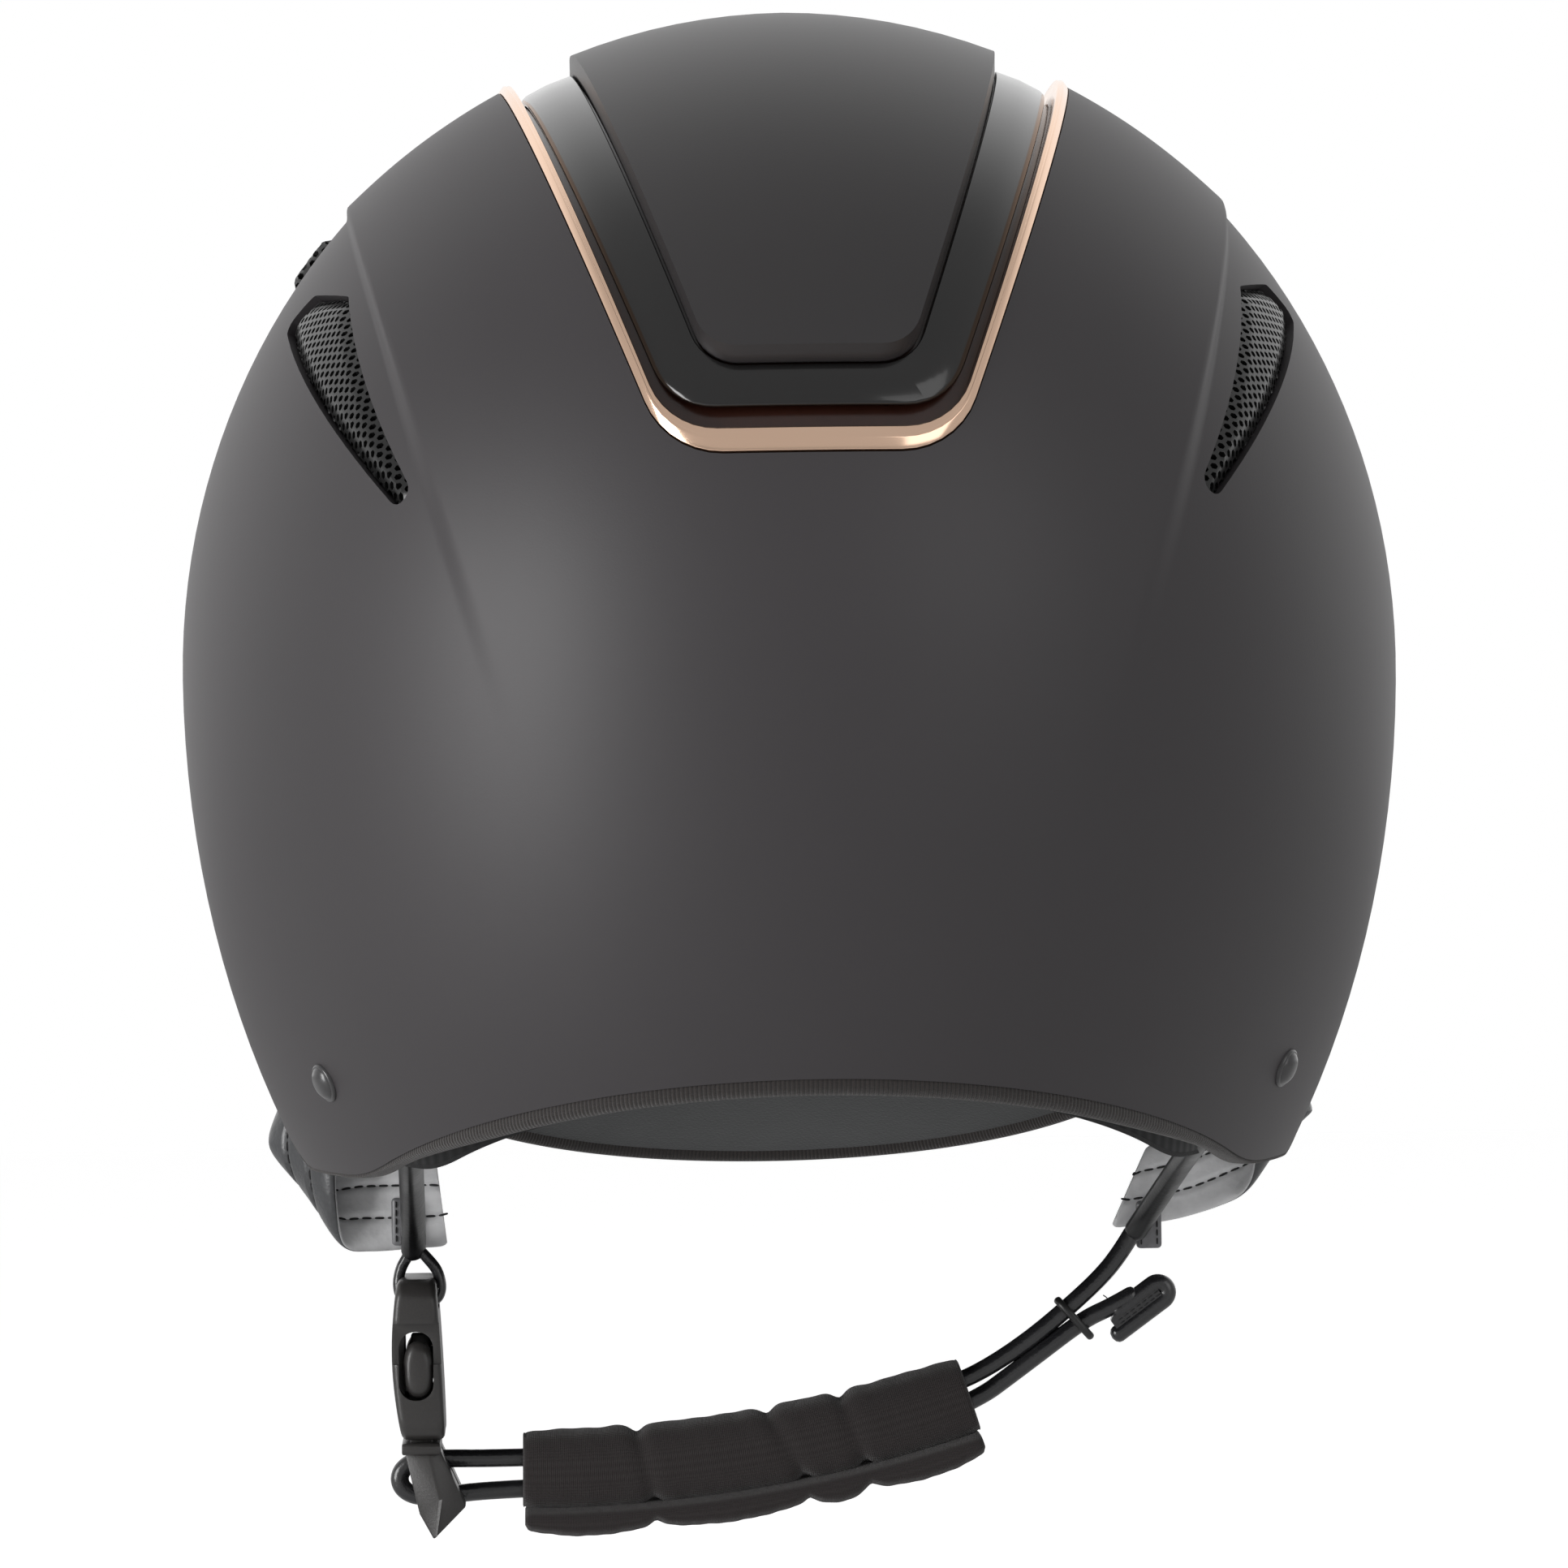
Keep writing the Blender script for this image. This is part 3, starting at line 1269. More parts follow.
# ---------------------------------------------------------------- harness bands
# Each front strap is a padded leather band, sewn in three channels. It comes down
# from inside the temple with its face outwards, curls under and runs in to the
# junction below the ear with its lining towards the back.
def through(stations, steps):
    """Smooth line through stations, each a tuple of numbers."""
    rows = [tuple(stations[0])] + [tuple(s) for s in stations] + [tuple(stations[-1])]
    line = []
    for a, b, c, d in zip(rows, rows[1:], rows[2:], rows[3:]):
        last = c is rows[-2]
        for i in range(steps + (1 if last else 0)):
            t = i / steps
            line.append(
                tuple(
                    0.5 * (2 * q + (r - p) * t + (2 * p - 5 * q + 4 * r - s) * t * t + (3 * q - p - 3 * r + s) * t**3)
                    for p, q, r, s in zip(a, b, c, d)
                )
            )
    return line


# Stations in millimetres: middle of the band, way across it towards its upper or outer edge, width.
left_band = (
    ((-88.5, 14.0, 24.0), (-0.45, 0.88, 0.0), 19),
    ((-90.5, 13.0, 14.0), (-0.55, 0.83, 0.0), 19),
    ((-92.2, 12.0, 6.0), (-0.66, 0.75, 0.05), 19),
    ((-91.2, 12.5, -1.5), (-0.55, 0.72, 0.42), 19),
    ((-87.5, 13.5, -6.3), (-0.30, 0.60, 0.74), 19),
    ((-80.5, 13.5, -6.0), (-0.10, 0.30, 0.95), 18.5),
    ((-73.0, 12.8, -5.6), (-0.12, 0.02, 0.99), 18),
    ((-67.6, 12.6, -5.5), (-0.12, 0.0, 0.99), 17.6),
    ((-66.2, 12.6, -5.5), (-0.12, 0.0, 0.99), 16.2),
)
right_band = (
    ((88.5, 14.0, 24.0), (0.45, 0.88, 0.0), 19),
    ((91.0, 13.0, 15.0), (0.55, 0.83, 0.0), 19),
    ((92.5, 12.0, 8.5), (0.64, 0.75, 0.05), 19),
    ((91.8, 12.3, 4.2), (0.52, 0.72, 0.44), 19),
    ((88.2, 13.5, 1.6), (0.30, 0.60, 0.74), 19),
    ((83.5, 13.5, 0.2), (0.22, 0.30, 0.93), 18.5),
    ((75.5, 13.0, -2.6), (0.34, 0.02, 0.94), 18.5),
    ((67.4, 12.6, -4.3), (0.42, 0.0, 0.91), 18),
    ((64.6, 12.6, -4.8), (0.42, 0.0, 0.91), 17.4),
    ((63.4, 12.6, -5.0), (0.42, 0.0, 0.91), 15.6),
)
band_thick = 3.0
seams = (-1 / 3, 1 / 3)
seam_width, seam_depth = 0.06, 0.42


def band_face(across):
    """Half thickness of the padded band across its width, as a share of its full half thickness."""
    shape = (1 - abs(across) ** 5) ** 0.5
    dip = sum(math.exp(-(((across - seam) / seam_width) ** 2)) for seam in seams)
    return max(0.12, shape * (1 - seam_depth * dip))


def stitches(name, lines, pitch=2.4, length=1.8, radius=0.22):
    """Rows of thread stitches in millimetres; each line is a list of (point, outward way)."""
    verts, faces = [], []
    for line in lines:
        gone = 0.0
        at = 0.3 * pitch
        marks = []
        for (a, out), (b, _) in zip(line, line[1:]):
            run = (b - a).length
            while run > 0 and at <= gone + run:
                marks.append((a.lerp(b, (at - gone) / run), (b - a).normalized(), out))
                at += pitch
            gone += run
        for spot, run, out in marks:
            side = run.cross(out).normalized()
            first = len(verts)
            for share, size in ((-0.5, 0.35), (-0.38, 0.9), (0.0, 1.0), (0.38, 0.9), (0.5, 0.35)):
                lift = radius * (0.9 - 2.4 * share * share)
                for k in range(6):
                    angle = math.pi * k / 3
                    around = side * math.cos(angle) + out * math.sin(angle)
                    verts.append((spot + run * share * length + out * lift + around * radius * size) * mm)
            for ring in range(4):
                for k in range(6):
                    low, high = first + ring * 6, first + ring * 6 + 6
                    faces.append((low + k, low + (k + 1) % 6, high + (k + 1) % 6, high + k))
            faces.append(tuple(first + 5 - k for k in range(6)))
            faces.append(tuple(first + 24 + k for k in range(6)))
    piece = mesh_piece(name, verts, faces)
    tidy(piece)
    return finished(piece, 60)


def leather_band(name, stations, inner):
    """Padded band through its stations, its lined face first, and the thread in its two seams."""
    flat = [(*middle, *across, width) for middle, across, width in stations]
    shares = sorted([k / 18 for k in range(-18, 19)] + [-0.99, -0.97, 0.97, 0.99])
    line = through(flat, 12)
    middles = [Vector(p[:3]) for p in line]
    rows = []
    seam_lines = [[] for _ in range(4)]
    for i, p in enumerate(line):
        run = (middles[min(i + 1, len(line) - 1)] - middles[max(i - 1, 0)]).normalized()
        across = Vector(p[3:6]).normalized()
        out = run.cross(across).normalized()
        end = min(i, len(line) - 1 - i)
        close = 1.0 if end > 2 else (0.55, 0.85, 0.96)[end]
        row = []
        for face in (inner, -inner):
            for share in shares[:: face * inner]:
                thick = band_thick / 2 * band_face(share) * close
                row.append((middles[i] + across * share * p[6] / 2 + out * face * thick) * mm)
        rows.append(row + row[:1])
        for s, seam in enumerate(seams):
            for f, face in enumerate((1, -1)):
                thick = band_thick / 2 * band_face(seam) * face
                seam_lines[2 * s + f].append((middles[i] + across * seam * p[6] / 2 + out * thick, out * face))
    lids = [[sum(row[:-1], Vector()) / len(row[:-1])] * len(row) for row in (rows[0], rows[-1])]
    band = shaped(name, lids[:1] + rows + lids[1:], 60)
    return band, stitches(name + "_thread", seam_lines)


grain_group, grain_in, grain_out = effect(
    "leather_grain",
    [("Vector", "NodeSocketVector", None), ("Scale", "NodeSocketFloat", 900.0), ("Wear", "NodeSocketFloat", 0.5)],
    [("Height", "NodeSocketFloat"), ("Shade", "NodeSocketFloat"), ("Polish", "NodeSocketFloat")],
)
grain_place, grain_scale = grain_in.outputs["Vector"], grain_in.outputs["Scale"]
pores = grain_group.nodes.new("ShaderNodeTexVoronoi")
grain_group.links.new(grain_place, pores.inputs["Vector"])
grain_group.links.new(grain_scale, pores.inputs["Scale"])
creases = group_noise(grain_group, grain_place, math_node(grain_group, "MULTIPLY", grain_scale, 0.3), 5)
rough_sum = math_node(grain_group, "MULTIPLY_ADD", pores.outputs["Distance"], 0.6, creases)
grain_group.links.new(rough_sum, grain_out.inputs["Height"])
patches = group_noise(grain_group, grain_place, math_node(grain_group, "MULTIPLY", grain_scale, 0.08))
shade = math_node(grain_group, "MULTIPLY_ADD", pores.outputs["Distance"], 0.4, patches)
grain_group.links.new(math_node(grain_group, "MULTIPLY", shade, 0.75), grain_out.inputs["Shade"])
worn = math_node(grain_group, "MULTIPLY", patches, grain_in.outputs["Wear"])
grain_group.links.new(math_node(grain_group, "SUBTRACT", 0.55, worn), grain_out.inputs["Polish"])


def leather_paint(name, dark, light, scale, wear, bump, coat):
    """Grained leather paint with a polish that varies over the surface."""
    paint, shader = new_paint(name, dark, 0.35, Coat_Weight=coat, Coat_Roughness=0.25)
    hide = place_effect(paint, grain_group, object_point(paint), Scale=scale, Wear=wear)
    tinted(paint, shader, hide.outputs["Shade"], light, dark)
    paint.node_tree.links.new(hide.outputs["Polish"], shader.inputs["Roughness"])
    add_bump(paint, shader, hide.outputs["Height"], bump, 0.0002)
    return paint


rolled_leather = leather_paint("rolled_leather", (0.004, 0.004, 0.0045), (0.011, 0.011, 0.012), 1300.0, 0.4, 0.2, 0.05)
band_leather = leather_paint("band_leather", (0.026, 0.027, 0.029), (0.060, 0.062, 0.066), 1100.0, 0.5, 0.35, 0.3)
band_nodes, band_links = band_leather.node_tree.nodes, band_leather.node_tree.links
band_shader = band_nodes["Principled BSDF"]
dark_face = band_shader.inputs["Base Color"].links[0].from_socket
pale_face = between(band_leather, noise(band_leather, 420, 4), (0.56, 0.56, 0.57), (0.78, 0.78, 0.79))
split_place = band_nodes.new("ShaderNodeSeparateXYZ")
band_links.new(uv_point(band_leather), split_place.inputs[0])
which_face = math_node(band_leather.node_tree, "GREATER_THAN", split_place.outputs["X"], 0.5)
face_mix = band_nodes.new("ShaderNodeMix")
face_mix.data_type = "RGBA"
band_links.new(which_face, face_mix.inputs["Factor"])
band_links.new(pale_face, face_mix.inputs["A"])
band_links.new(dark_face, face_mix.inputs["B"])
band_links.new(face_mix.outputs["Result"], band_shader.inputs["Base Color"])
thread_dark, thread_light = (0.006, 0.006, 0.007), (0.018, 0.018, 0.019)
thread, shader = new_paint("black_thread", thread_dark, 0.7)
twist = noise(thread, 4000)
tinted(thread, shader, twist, thread_dark, thread_light)
add_bump(thread, shader, twist, 0.5, 0.0001)
for word, stations in (("left", left_band), ("right", right_band)):
    strap, sewing = leather_band(f"harness_band_{word}", stations, 1 if word == "left" else -1)
    fit(strap, band_leather, "leather", "helmet", f"front_strap_{word}")
    fit(sewing, thread, "leather", "helmet")


# ---------------------------------------------------------------- rolled straps
# The rear straps are rolled leather. They run forward from inside the lobes and
# are sewn to the band's end, where a small tab closes the junction.
rolled_routes = {
    "left": (
        (-71.0, -44, 10), (-71.0, -32, 5), (-71.2, -18, 0.5), (-71.3, -6, -4.6),
        (-71.4, 4, -10.4), (-71.5, 8.0, -14.4),
    ),
    "right": (
        (72.5, -44, 10), (72.0, -30, 5), (71.0, -16, 1.2), (69.2, -5, -3.4),
        (66.6, 4, -8.8), (64.2, 8.0, -13.0),
    ),
}
rolled_radius = 2.5
for word, route in rolled_routes.items():
    line = [Vector(p) * mm for p in through(route, 10)]
    strap = tube(f"rolled_strap_{word}", line, rolled_radius * mm, 18, 0.86)
    fit(strap, rolled_leather, "leather", "helmet", f"rear_strap_{word}")

tab_leather = leather_paint("tab_leather", (0.10, 0.10, 0.105), (0.20, 0.20, 0.21), 900.0, 0.4, 0.3, 0.2)
tab_thick, tab_tall = 1.8, 9.0
for word, left_x, right_x, low_z in (("left", -75.6, -71.0, -13.8), ("right", 64.4, 69.2, -16.6)):
    bpy.ops.mesh.primitive_cube_add(size=mm, location=(0, 0, 0))
    tab = bpy.context.object
    tab.name = f"junction_tab_{word}"
    tab.scale = (right_x - left_x, tab_thick, tab_tall)
    tab.location = ((left_x + right_x) / 2 * mm, 0.0103, (low_z + tab_tall / 2) * mm)
    bpy.ops.object.transform_apply(location=True, rotation=True, scale=True)
    bevelled(tab, 0.0008, 4)
    finished(tab, 40)
    rows = []
    for spot_x in (left_x + 0.9, right_x - 0.9):
        spots = [Vector((spot_x, 9.4, low_z + up)) for up in (0.9, 8.0)]
        rows.append([(spot, Vector((0, -1, 0))) for spot in spots])
    fit(tab, tab_leather, "leather", "helmet", f"strap_tab_{word}")
    fit(stitches(f"junction_thread_{word}", rows, 1.6, 1.2, 0.16), thread, "leather", "helmet")


# ---------------------------------------------------------------- lace loop
# A short leather lace hangs the buckle from the left junction: a loop that
# spreads round the buckle's top bar.
jy = 0.008  # the junctions, and the whole strap below them, lie this far in front of the middle
buckle_x = -0.0704
lace_stations = (
    (-71.6, -14.2), (-72.7, -15.8), (-73.9, -18.0), (-74.4, -20.6), (-73.9, -23.0), (-71.6, -24.2),
    (-69.0, -24.3), (-67.1, -23.4), (-66.5, -21.2), (-67.2, -18.4), (-69.0, -16.0), (-70.6, -14.4),
)
lace_spots = [(x * mm, jy, z * mm) for x, z in lace_stations + lace_stations[:1]]
lace_line, _ = evenly([Vector(p) for p in through(lace_spots, 8)][:-1], 90)
forward = Vector((0, 1, 0))
lace_sides, lace_half_wide, lace_half_deep = 14, 0.00105, 0.00125
lace_loops = []
for k in range(lace_sides):
    angle = 2 * math.pi * k / lace_sides
    loop = []
    for i, spot in enumerate(lace_line):
        run = (lace_line[(i + 1) % len(lace_line)] - lace_line[i - 1]).normalized()
        out = run.cross(forward)
        loop.append(spot + out * lace_half_wide * math.cos(angle) + forward * lace_half_deep * math.sin(angle))
    lace_loops.append(loop)
lace = closed_ring("leather_lace", lace_loops)
finished(lace, 60)
cord_leather = leather_paint("cord_leather", (0.008, 0.008, 0.009), (0.022, 0.022, 0.024), 1500.0, 0.6, 0.35, 0.5)
fit(lace, cord_leather, "leather", "chin_hanger", "buckle_lace")


# ---------------------------------------------------------------- side-release buckle
# Moulded plastic: a slightly bowed housing with a scooped window each side, and a
# plug whose sprung arms carry the two release buttons.
plastic_dark, plastic_light = (0.027, 0.025, 0.024), (0.040, 0.038, 0.037)
plastic, shader = new_paint("buckle_plastic", plastic_dark, 0.38)
pits = noise(plastic, 2600, 3)
tinted(plastic, shader, pits, plastic_dark, plastic_light)
tinted(plastic, shader, noise(plastic, 190, 3), (0.27, 0.27, 0.27), (0.42, 0.42, 0.42), "Roughness")
add_bump(plastic, shader, pits, 0.25, 0.0001)

housing_high, housing_low = -0.0194, -0.0494
housing_half_wide = 0.0125
housing_round = 0.004
edge_round = 0.0014


def housing_side(z, side):
    """X of the bowed housing's face at a height; side is -1 for the outer face, 1 for the inner."""
    share = (housing_high - z) / (housing_high - housing_low)
    outer = -0.0745 - 0.0014 * math.sin(math.pi * min(1.0, share)) + 0.0006 * share
    inner = -0.0673 + 0.0014 * share + 0.0002 * math.sin(math.pi * share)
    return outer if side < 0 else inner


def rounded_outline(half_wide, half_tall, radius, step):
    """Points round a rounded rectangle about the origin."""
    spots = []
    corners = ((1, 1, 0), (-1, 1, 90), (-1, -1, 180), (1, -1, 270))
    for i, (sx, sy, start) in enumerate(corners):
        for k in range(9):
            angle = math.radians(start + 90 * k / 8)
            x = sx * (half_wide - radius) + radius * math.cos(angle)
            y = sy * (half_tall - radius) + radius * math.sin(angle)
            spots.append((x, y))
        next_x, next_y, _ = corners[(i + 1) % 4]
        goal_x = next_x * (half_wide - radius) + radius * math.cos(angle)
        goal_y = next_y * (half_tall - radius) + radius * math.sin(angle)
        pieces_between = int(math.hypot(goal_x - x, goal_y - y) / step)
        for k in range(1, pieces_between):
            share = k / pieces_between
            spots.append((x + (goal_x - x) * share, y + (goal_y - y) * share))
    return spots


housing_outline = rounded_outline(housing_half_wide, (housing_high - housing_low) / 2, housing_round, 0.001)
housing_middle_z = (housing_high + housing_low) / 2
housing_rings = []
ring_plan = [(-1, s, 0.0) for s in (0.002, 0.25, 0.5, 0.75, 0.9)]
ring_plan += [(-1, None, a) for a in (0, 22.5, 45, 67.5, 90)]
ring_plan += [(1, None, a) for a in (90, 67.5, 45, 22.5, 0)]
ring_plan += [(1, s, 0.0) for s in (0.9, 0.75, 0.5, 0.25, 0.002)]
for side, share, angle in ring_plan:
    row = []
    for y, z in housing_outline + housing_outline[:1]:
        length = math.hypot(y, z)
        if share is None:
            drawn = (length - edge_round * (1 - math.sin(math.radians(angle)))) / length
            inward = edge_round * (1 - math.cos(math.radians(angle)))
        else:
            drawn = share * (length - edge_round) / length
            inward = 0.0
        spot_z = housing_middle_z + z * drawn
        row.append(Vector((housing_side(spot_z, side) - side * inward, jy + y * drawn, spot_z)))
    housing_rings.append(row)
housing = grid_piece("buckle_body", housing_rings)
tidy(housing)


def cutter(name, low, high, radius, axis):
    """Box whose corners are rounded about one axis, to cut with or to build with."""
    low, high = Vector(low), Vector(high)
    a, b = [i for i in range(3) if i != axis]
    middle = (low + high) / 2
    half = (high - low) / 2
    outline = rounded_outline(half[a], half[b], max(radius, 0.00005), 1.0)
    verts = []
    for end in (-1, 1):
        for u, v in outline:
            spot = middle.copy()
            spot[axis] += end * half[axis]
            spot[a] += u
            spot[b] += v
            verts.append(spot)
    n = len(outline)
    faces = [(k, (k + 1) % n, n + (k + 1) % n, n + k) for k in range(n)]
    faces += [tuple(range(n - 1, -1, -1)), tuple(range(n, 2 * n))]
    block = mesh_piece(name, verts, faces)
    tidy(block)
    return block


window_reach, window_depth, scoop_depth, window_round = 0.002, 0.0044, 0.0011, 0.0030
cuts = [
    cutter("room", (buckle_x - 0.0029, jy - 0.0096, -0.0520), (buckle_x + 0.0029, jy + 0.0096, -0.0268), 0.0006, 2),
    cutter("lace_slot", (-0.09, jy - 0.006, -0.0256), (-0.05, jy + 0.006, -0.0216), 0.0018, 0),
]
for hand in (-1, 1):
    wall = jy + hand * housing_half_wide
    ends = sorted((wall + hand * window_reach, wall - hand * window_depth))
    scoop = sorted((wall + hand * window_reach, wall - hand * scoop_depth))
    cuts.append(cutter("window", (-0.0743, ends[0], -0.0417), (-0.0679, ends[1], -0.0290), window_round, 1))
    cuts.append(cutter("scoop", (-0.0790, scoop[0], -0.0350), (-0.0622, scoop[1], -0.0274), window_round, 1))
for tool in cuts:
    cut(housing, tool)
bevelled(housing, 0.0002, 2, 40)
finished(housing, 35)
fit(housing, plastic, "buckle", "chin_hanger", "buckle_housing")

# Plug: shoulder, tongue and two wedge-shaped cheeks with a ridge, round a bar for the cord.
shoulder_top = -0.0498
shoulder_low = (-0.0740, jy - 0.011, shoulder_top - 0.0022)
shoulder = cutter("plug_shoulder", shoulder_low, (-0.0668, jy + 0.011, shoulder_top), 0.0009, 0)
bevelled(shoulder, 0.0004, 2)
tongue_low = (-0.0722, jy - 0.0012, shoulder_top - 0.001)
tongue = cutter("plug_tongue", tongue_low, (-0.0686, jy + 0.0012, -0.0300), 0.0006, 1)
pieces = [shoulder, tongue]
cheek_points = ((-0.0737, -0.0506), (-0.0671, -0.0506), (-0.0622, -0.0618), (-0.0683, -0.0679), (-0.0709, -0.0631))
ridge_points = ((-0.0692, -0.0506), (-0.0670, -0.0602), (-0.0679, -0.0672))
for hand in (-1, 1):
    inner, outer, ridge = (jy + hand * reach for reach in (0.0023, 0.0088, 0.0101))
    verts = [Vector((x, inner, z)) for x, z in cheek_points] + [Vector((x, outer, z)) for x, z in cheek_points]
    verts += [Vector((x, ridge - hand * 0.0006 * (i != 1), z)) for i, (x, z) in enumerate(ridge_points)]
    faces = [(0, 1, 2, 3, 4)]
    faces += [(k, 5 + k, 5 + (k + 1) % 5, (k + 1) % 5) for k in range(5) if k != 0]
    faces += [(0, 5, 10, 6, 1), (5, 9, 11, 10), (9, 8, 12, 11), (8, 7, 11, 12), (7, 6, 10, 11)]
    cheek = mesh_piece(f"plug_cheek_{hand}", verts, faces)
    tidy(cheek)
    bevelled(cheek, 0.0004, 3, 12)
    pieces.append(cheek)
bar_place = (-0.0706, jy, -0.0572)
across_turn = (math.pi / 2, 0, 0)
bpy.ops.mesh.primitive_cylinder_add(
    vertices=32, radius=0.00115, depth=0.0066, location=bar_place, rotation=across_turn
)
pieces.append(bpy.context.object)
bpy.ops.object.transform_apply(location=True, rotation=True, scale=True)
plug = joined("buckle_plug_body", pieces)
finished(plug, 30)
fit(plug, plastic, "buckle", "chin_strap", "buckle_plug")



def squared(value, power=0.8):
    """A cosine or sine drawn out, so that a round section nears a rectangle."""
    return math.copysign(abs(value) ** power, value)


# Sprung arms, each with a rounded button that fills its window.
button_rows, button_sides = 16, 28
for hand, word in ((-1, "rear"), (1, "front")):
    ends = sorted((jy + hand * 0.0062, jy + hand * 0.0080))
    stem_low = (buckle_x - 0.0021, ends[0], shoulder_top - 0.0004)
    stem = cutter(f"arm_{word}", stem_low, (buckle_x + 0.0021, ends[1], -0.0330), 0.0002, 1)
    bevelled(stem, 0.0002, 2)
    rows = []
    for i in range(button_rows + 1):
        turn_by = math.pi * i / button_rows
        swell = math.sin(turn_by) ** 0.42
        lift = 0.0100 - 0.0026 * math.cos(turn_by)
        rows.append([])
        for k in range(button_sides + 1):
            angle = 2 * math.pi * (k % button_sides) / button_sides
            x = buckle_x - 0.0003 + 0.0028 * squared(math.cos(angle)) * swell
            z = -0.0361 + 0.0053 * squared(math.sin(angle)) * swell
            rows[-1].append(Vector((x, jy + hand * lift, z)))
    button = grid_piece(f"button_{word}", rows)
    tidy(button)
    arm = joined(f"release_arm_{word}", [stem, button])
    finished(arm, 50)
    fit(arm, plastic, "buckle", f"latch_{word}", f"latch_arm_{word}")


# ---------------------------------------------------------------- chin cord
# One rolled leather cord. It leaves the right junction, runs under the chin, turns
# round the plug's bar and comes back through the pad to its stitched end.
cord_stations = (
    (63.4, -13.6), (61.6, -16.6), (57.9, -21.3), (51.6, -27.0), (44.2, -33.0), (36.6, -38.0), (30.0, -41.2),
    (14.0, -46.3),
    (-10.0, -51.2), (-34.0, -53.5), (-58.0, -53.8), (-66.0, -53.6), (-71.2, -53.7), (-74.0, -55.2), (-74.9, -57.3),
    (-74.0, -59.5), (-71.2, -60.8), (-66.0, -60.5), (-58.0, -59.7), (-34.0, -59.1), (-10.0, -56.7), (15.0, -51.8),
    (33.8, -44.4), (40.5, -39.6), (46.8, -35.0), (51.0, -31.9), (55.0, -29.2), (59.4, -27.3), (63.2, -25.2),
)
cord_radius = 0.0017
cord_curve = bpy.data.curves.new("cord_line", "CURVE")
cord_curve.dimensions = "3D"
cord_curve.resolution_u = 14
cord_spline = cord_curve.splines.new("NURBS")
cord_spline.points.add(len(cord_stations) - 1)
for point, (x, z) in zip(cord_spline.points, cord_stations):
    point.co = (x * mm, jy, z * mm, 1)
cord_spline.order_u = 3
cord_spline.use_endpoint_u = True
cord_carrier = bpy.data.objects.new("cord_line", cord_curve)
bpy.context.collection.objects.link(cord_carrier)
cord_mesh = bpy.data.meshes.new_from_object(cord_carrier)
cord_route = [v.co.copy() for v in cord_mesh.vertices]
bpy.data.objects.remove(cord_carrier)
bpy.data.curves.remove(cord_curve)
bpy.data.meshes.remove(cord_mesh)
cord_route = [p for i, p in enumerate(cord_route) if i == 0 or (p - cord_route[i - 1]).length > 0.00005]
cord_frames = []
for i in range(len(cord_route)):
    run = (cord_route[min(i + 1, len(cord_route) - 1)] - cord_route[max(i - 1, 0)]).normalized()
    cord_frames.append((run, forward, run.cross(forward)))
chin_cord = tube("rolled_cord", cord_route, cord_radius, 20, frames=cord_frames)
chin_cord.data.materials.append(cord_leather)
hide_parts("chin_cord")

# The stitched fold at the cord's end, with two loose ends of thread.
fold_turn = math.radians(36)
along = Vector((math.cos(fold_turn), 0, math.sin(fold_turn)))
upward = Vector((-math.sin(fold_turn), 0, math.cos(fold_turn)))
fold_middle = Vector((0.0645, jy, -0.0274))
turn_start, turn_long, fold_apart = 0.0045, 0.0018, 0.00175
fold_line = []
for i in range(25):
    angle = math.pi * (0.5 - i / 24)
    reach = turn_start + turn_long * math.cos(angle)
    fold_line.append(fold_middle + along * reach + upward * fold_apart * math.sin(angle))
upper_run = [fold_middle + along * s + upward * fold_apart for s in (-0.0036, -0.0024, 0.0, 0.0020, 0.0040)]
lower_run = [fold_middle + along * s - upward * fold_apart for s in (0.0040, 0.0020, 0.0, -0.0024, -0.0046, -0.0062)]
fold_route, _ = evenly(upper_run + fold_line + lower_run, 90, closed=False)
fold_tube = tube("cord_fold", fold_route, 0.00168, 18)
web = cutter("fold_web", (-0.0058, -0.0013, -0.0015), (0.0048, 0.0013, 0.0015), 0.0008, 1)
web.data.transform(Matrix.Translation(fold_middle) @ Matrix.Rotation(-fold_turn, 4, "Y"))
cord_fold = joined("cord_fold_end", [fold_tube, web])
finished(cord_fold, 60)
fit(cord_fold, cord_leather, "leather", "chin_strap", "cord_end_fold")
seam_rows = []
for face in (-1, 1):
    for up in (0.00035, -0.00035):
        spots = [(fold_middle + along * s + upward * up) / mm + forward * face * 1.2 for s in (-0.0046, 0.0046)]
        seam_rows.append([(spot, forward * face) for spot in spots])
fold_thread = stitches("fold_thread", seam_rows, 1.4, 1.1, 0.14)
start = fold_middle - along * 0.0046 + upward * 0.0034
long_end = ((0, 0, 0), (-0.0004, -0.0002, 0.0008), (-0.0002, 0.0001, 0.0016), (-0.0009, 0, 0.0022))
short_end = ((0, 0, 0), (0.0002, 0, 0.0009), (-0.0001, 0, 0.0016))
loose_line = through([tuple(start + Vector(step)) for step in long_end], 5)
loose = tube("loose_thread", [Vector(p) for p in loose_line], 0.00011, 8)
loose_two = tube("loose_thread_two", [start + Vector(step) for step in short_end], 0.0001, 8)
thread_ends = joined("fold_stitching", [fold_thread, loose, loose_two])
fit(thread_ends, thread, "leather", "chin_strap")


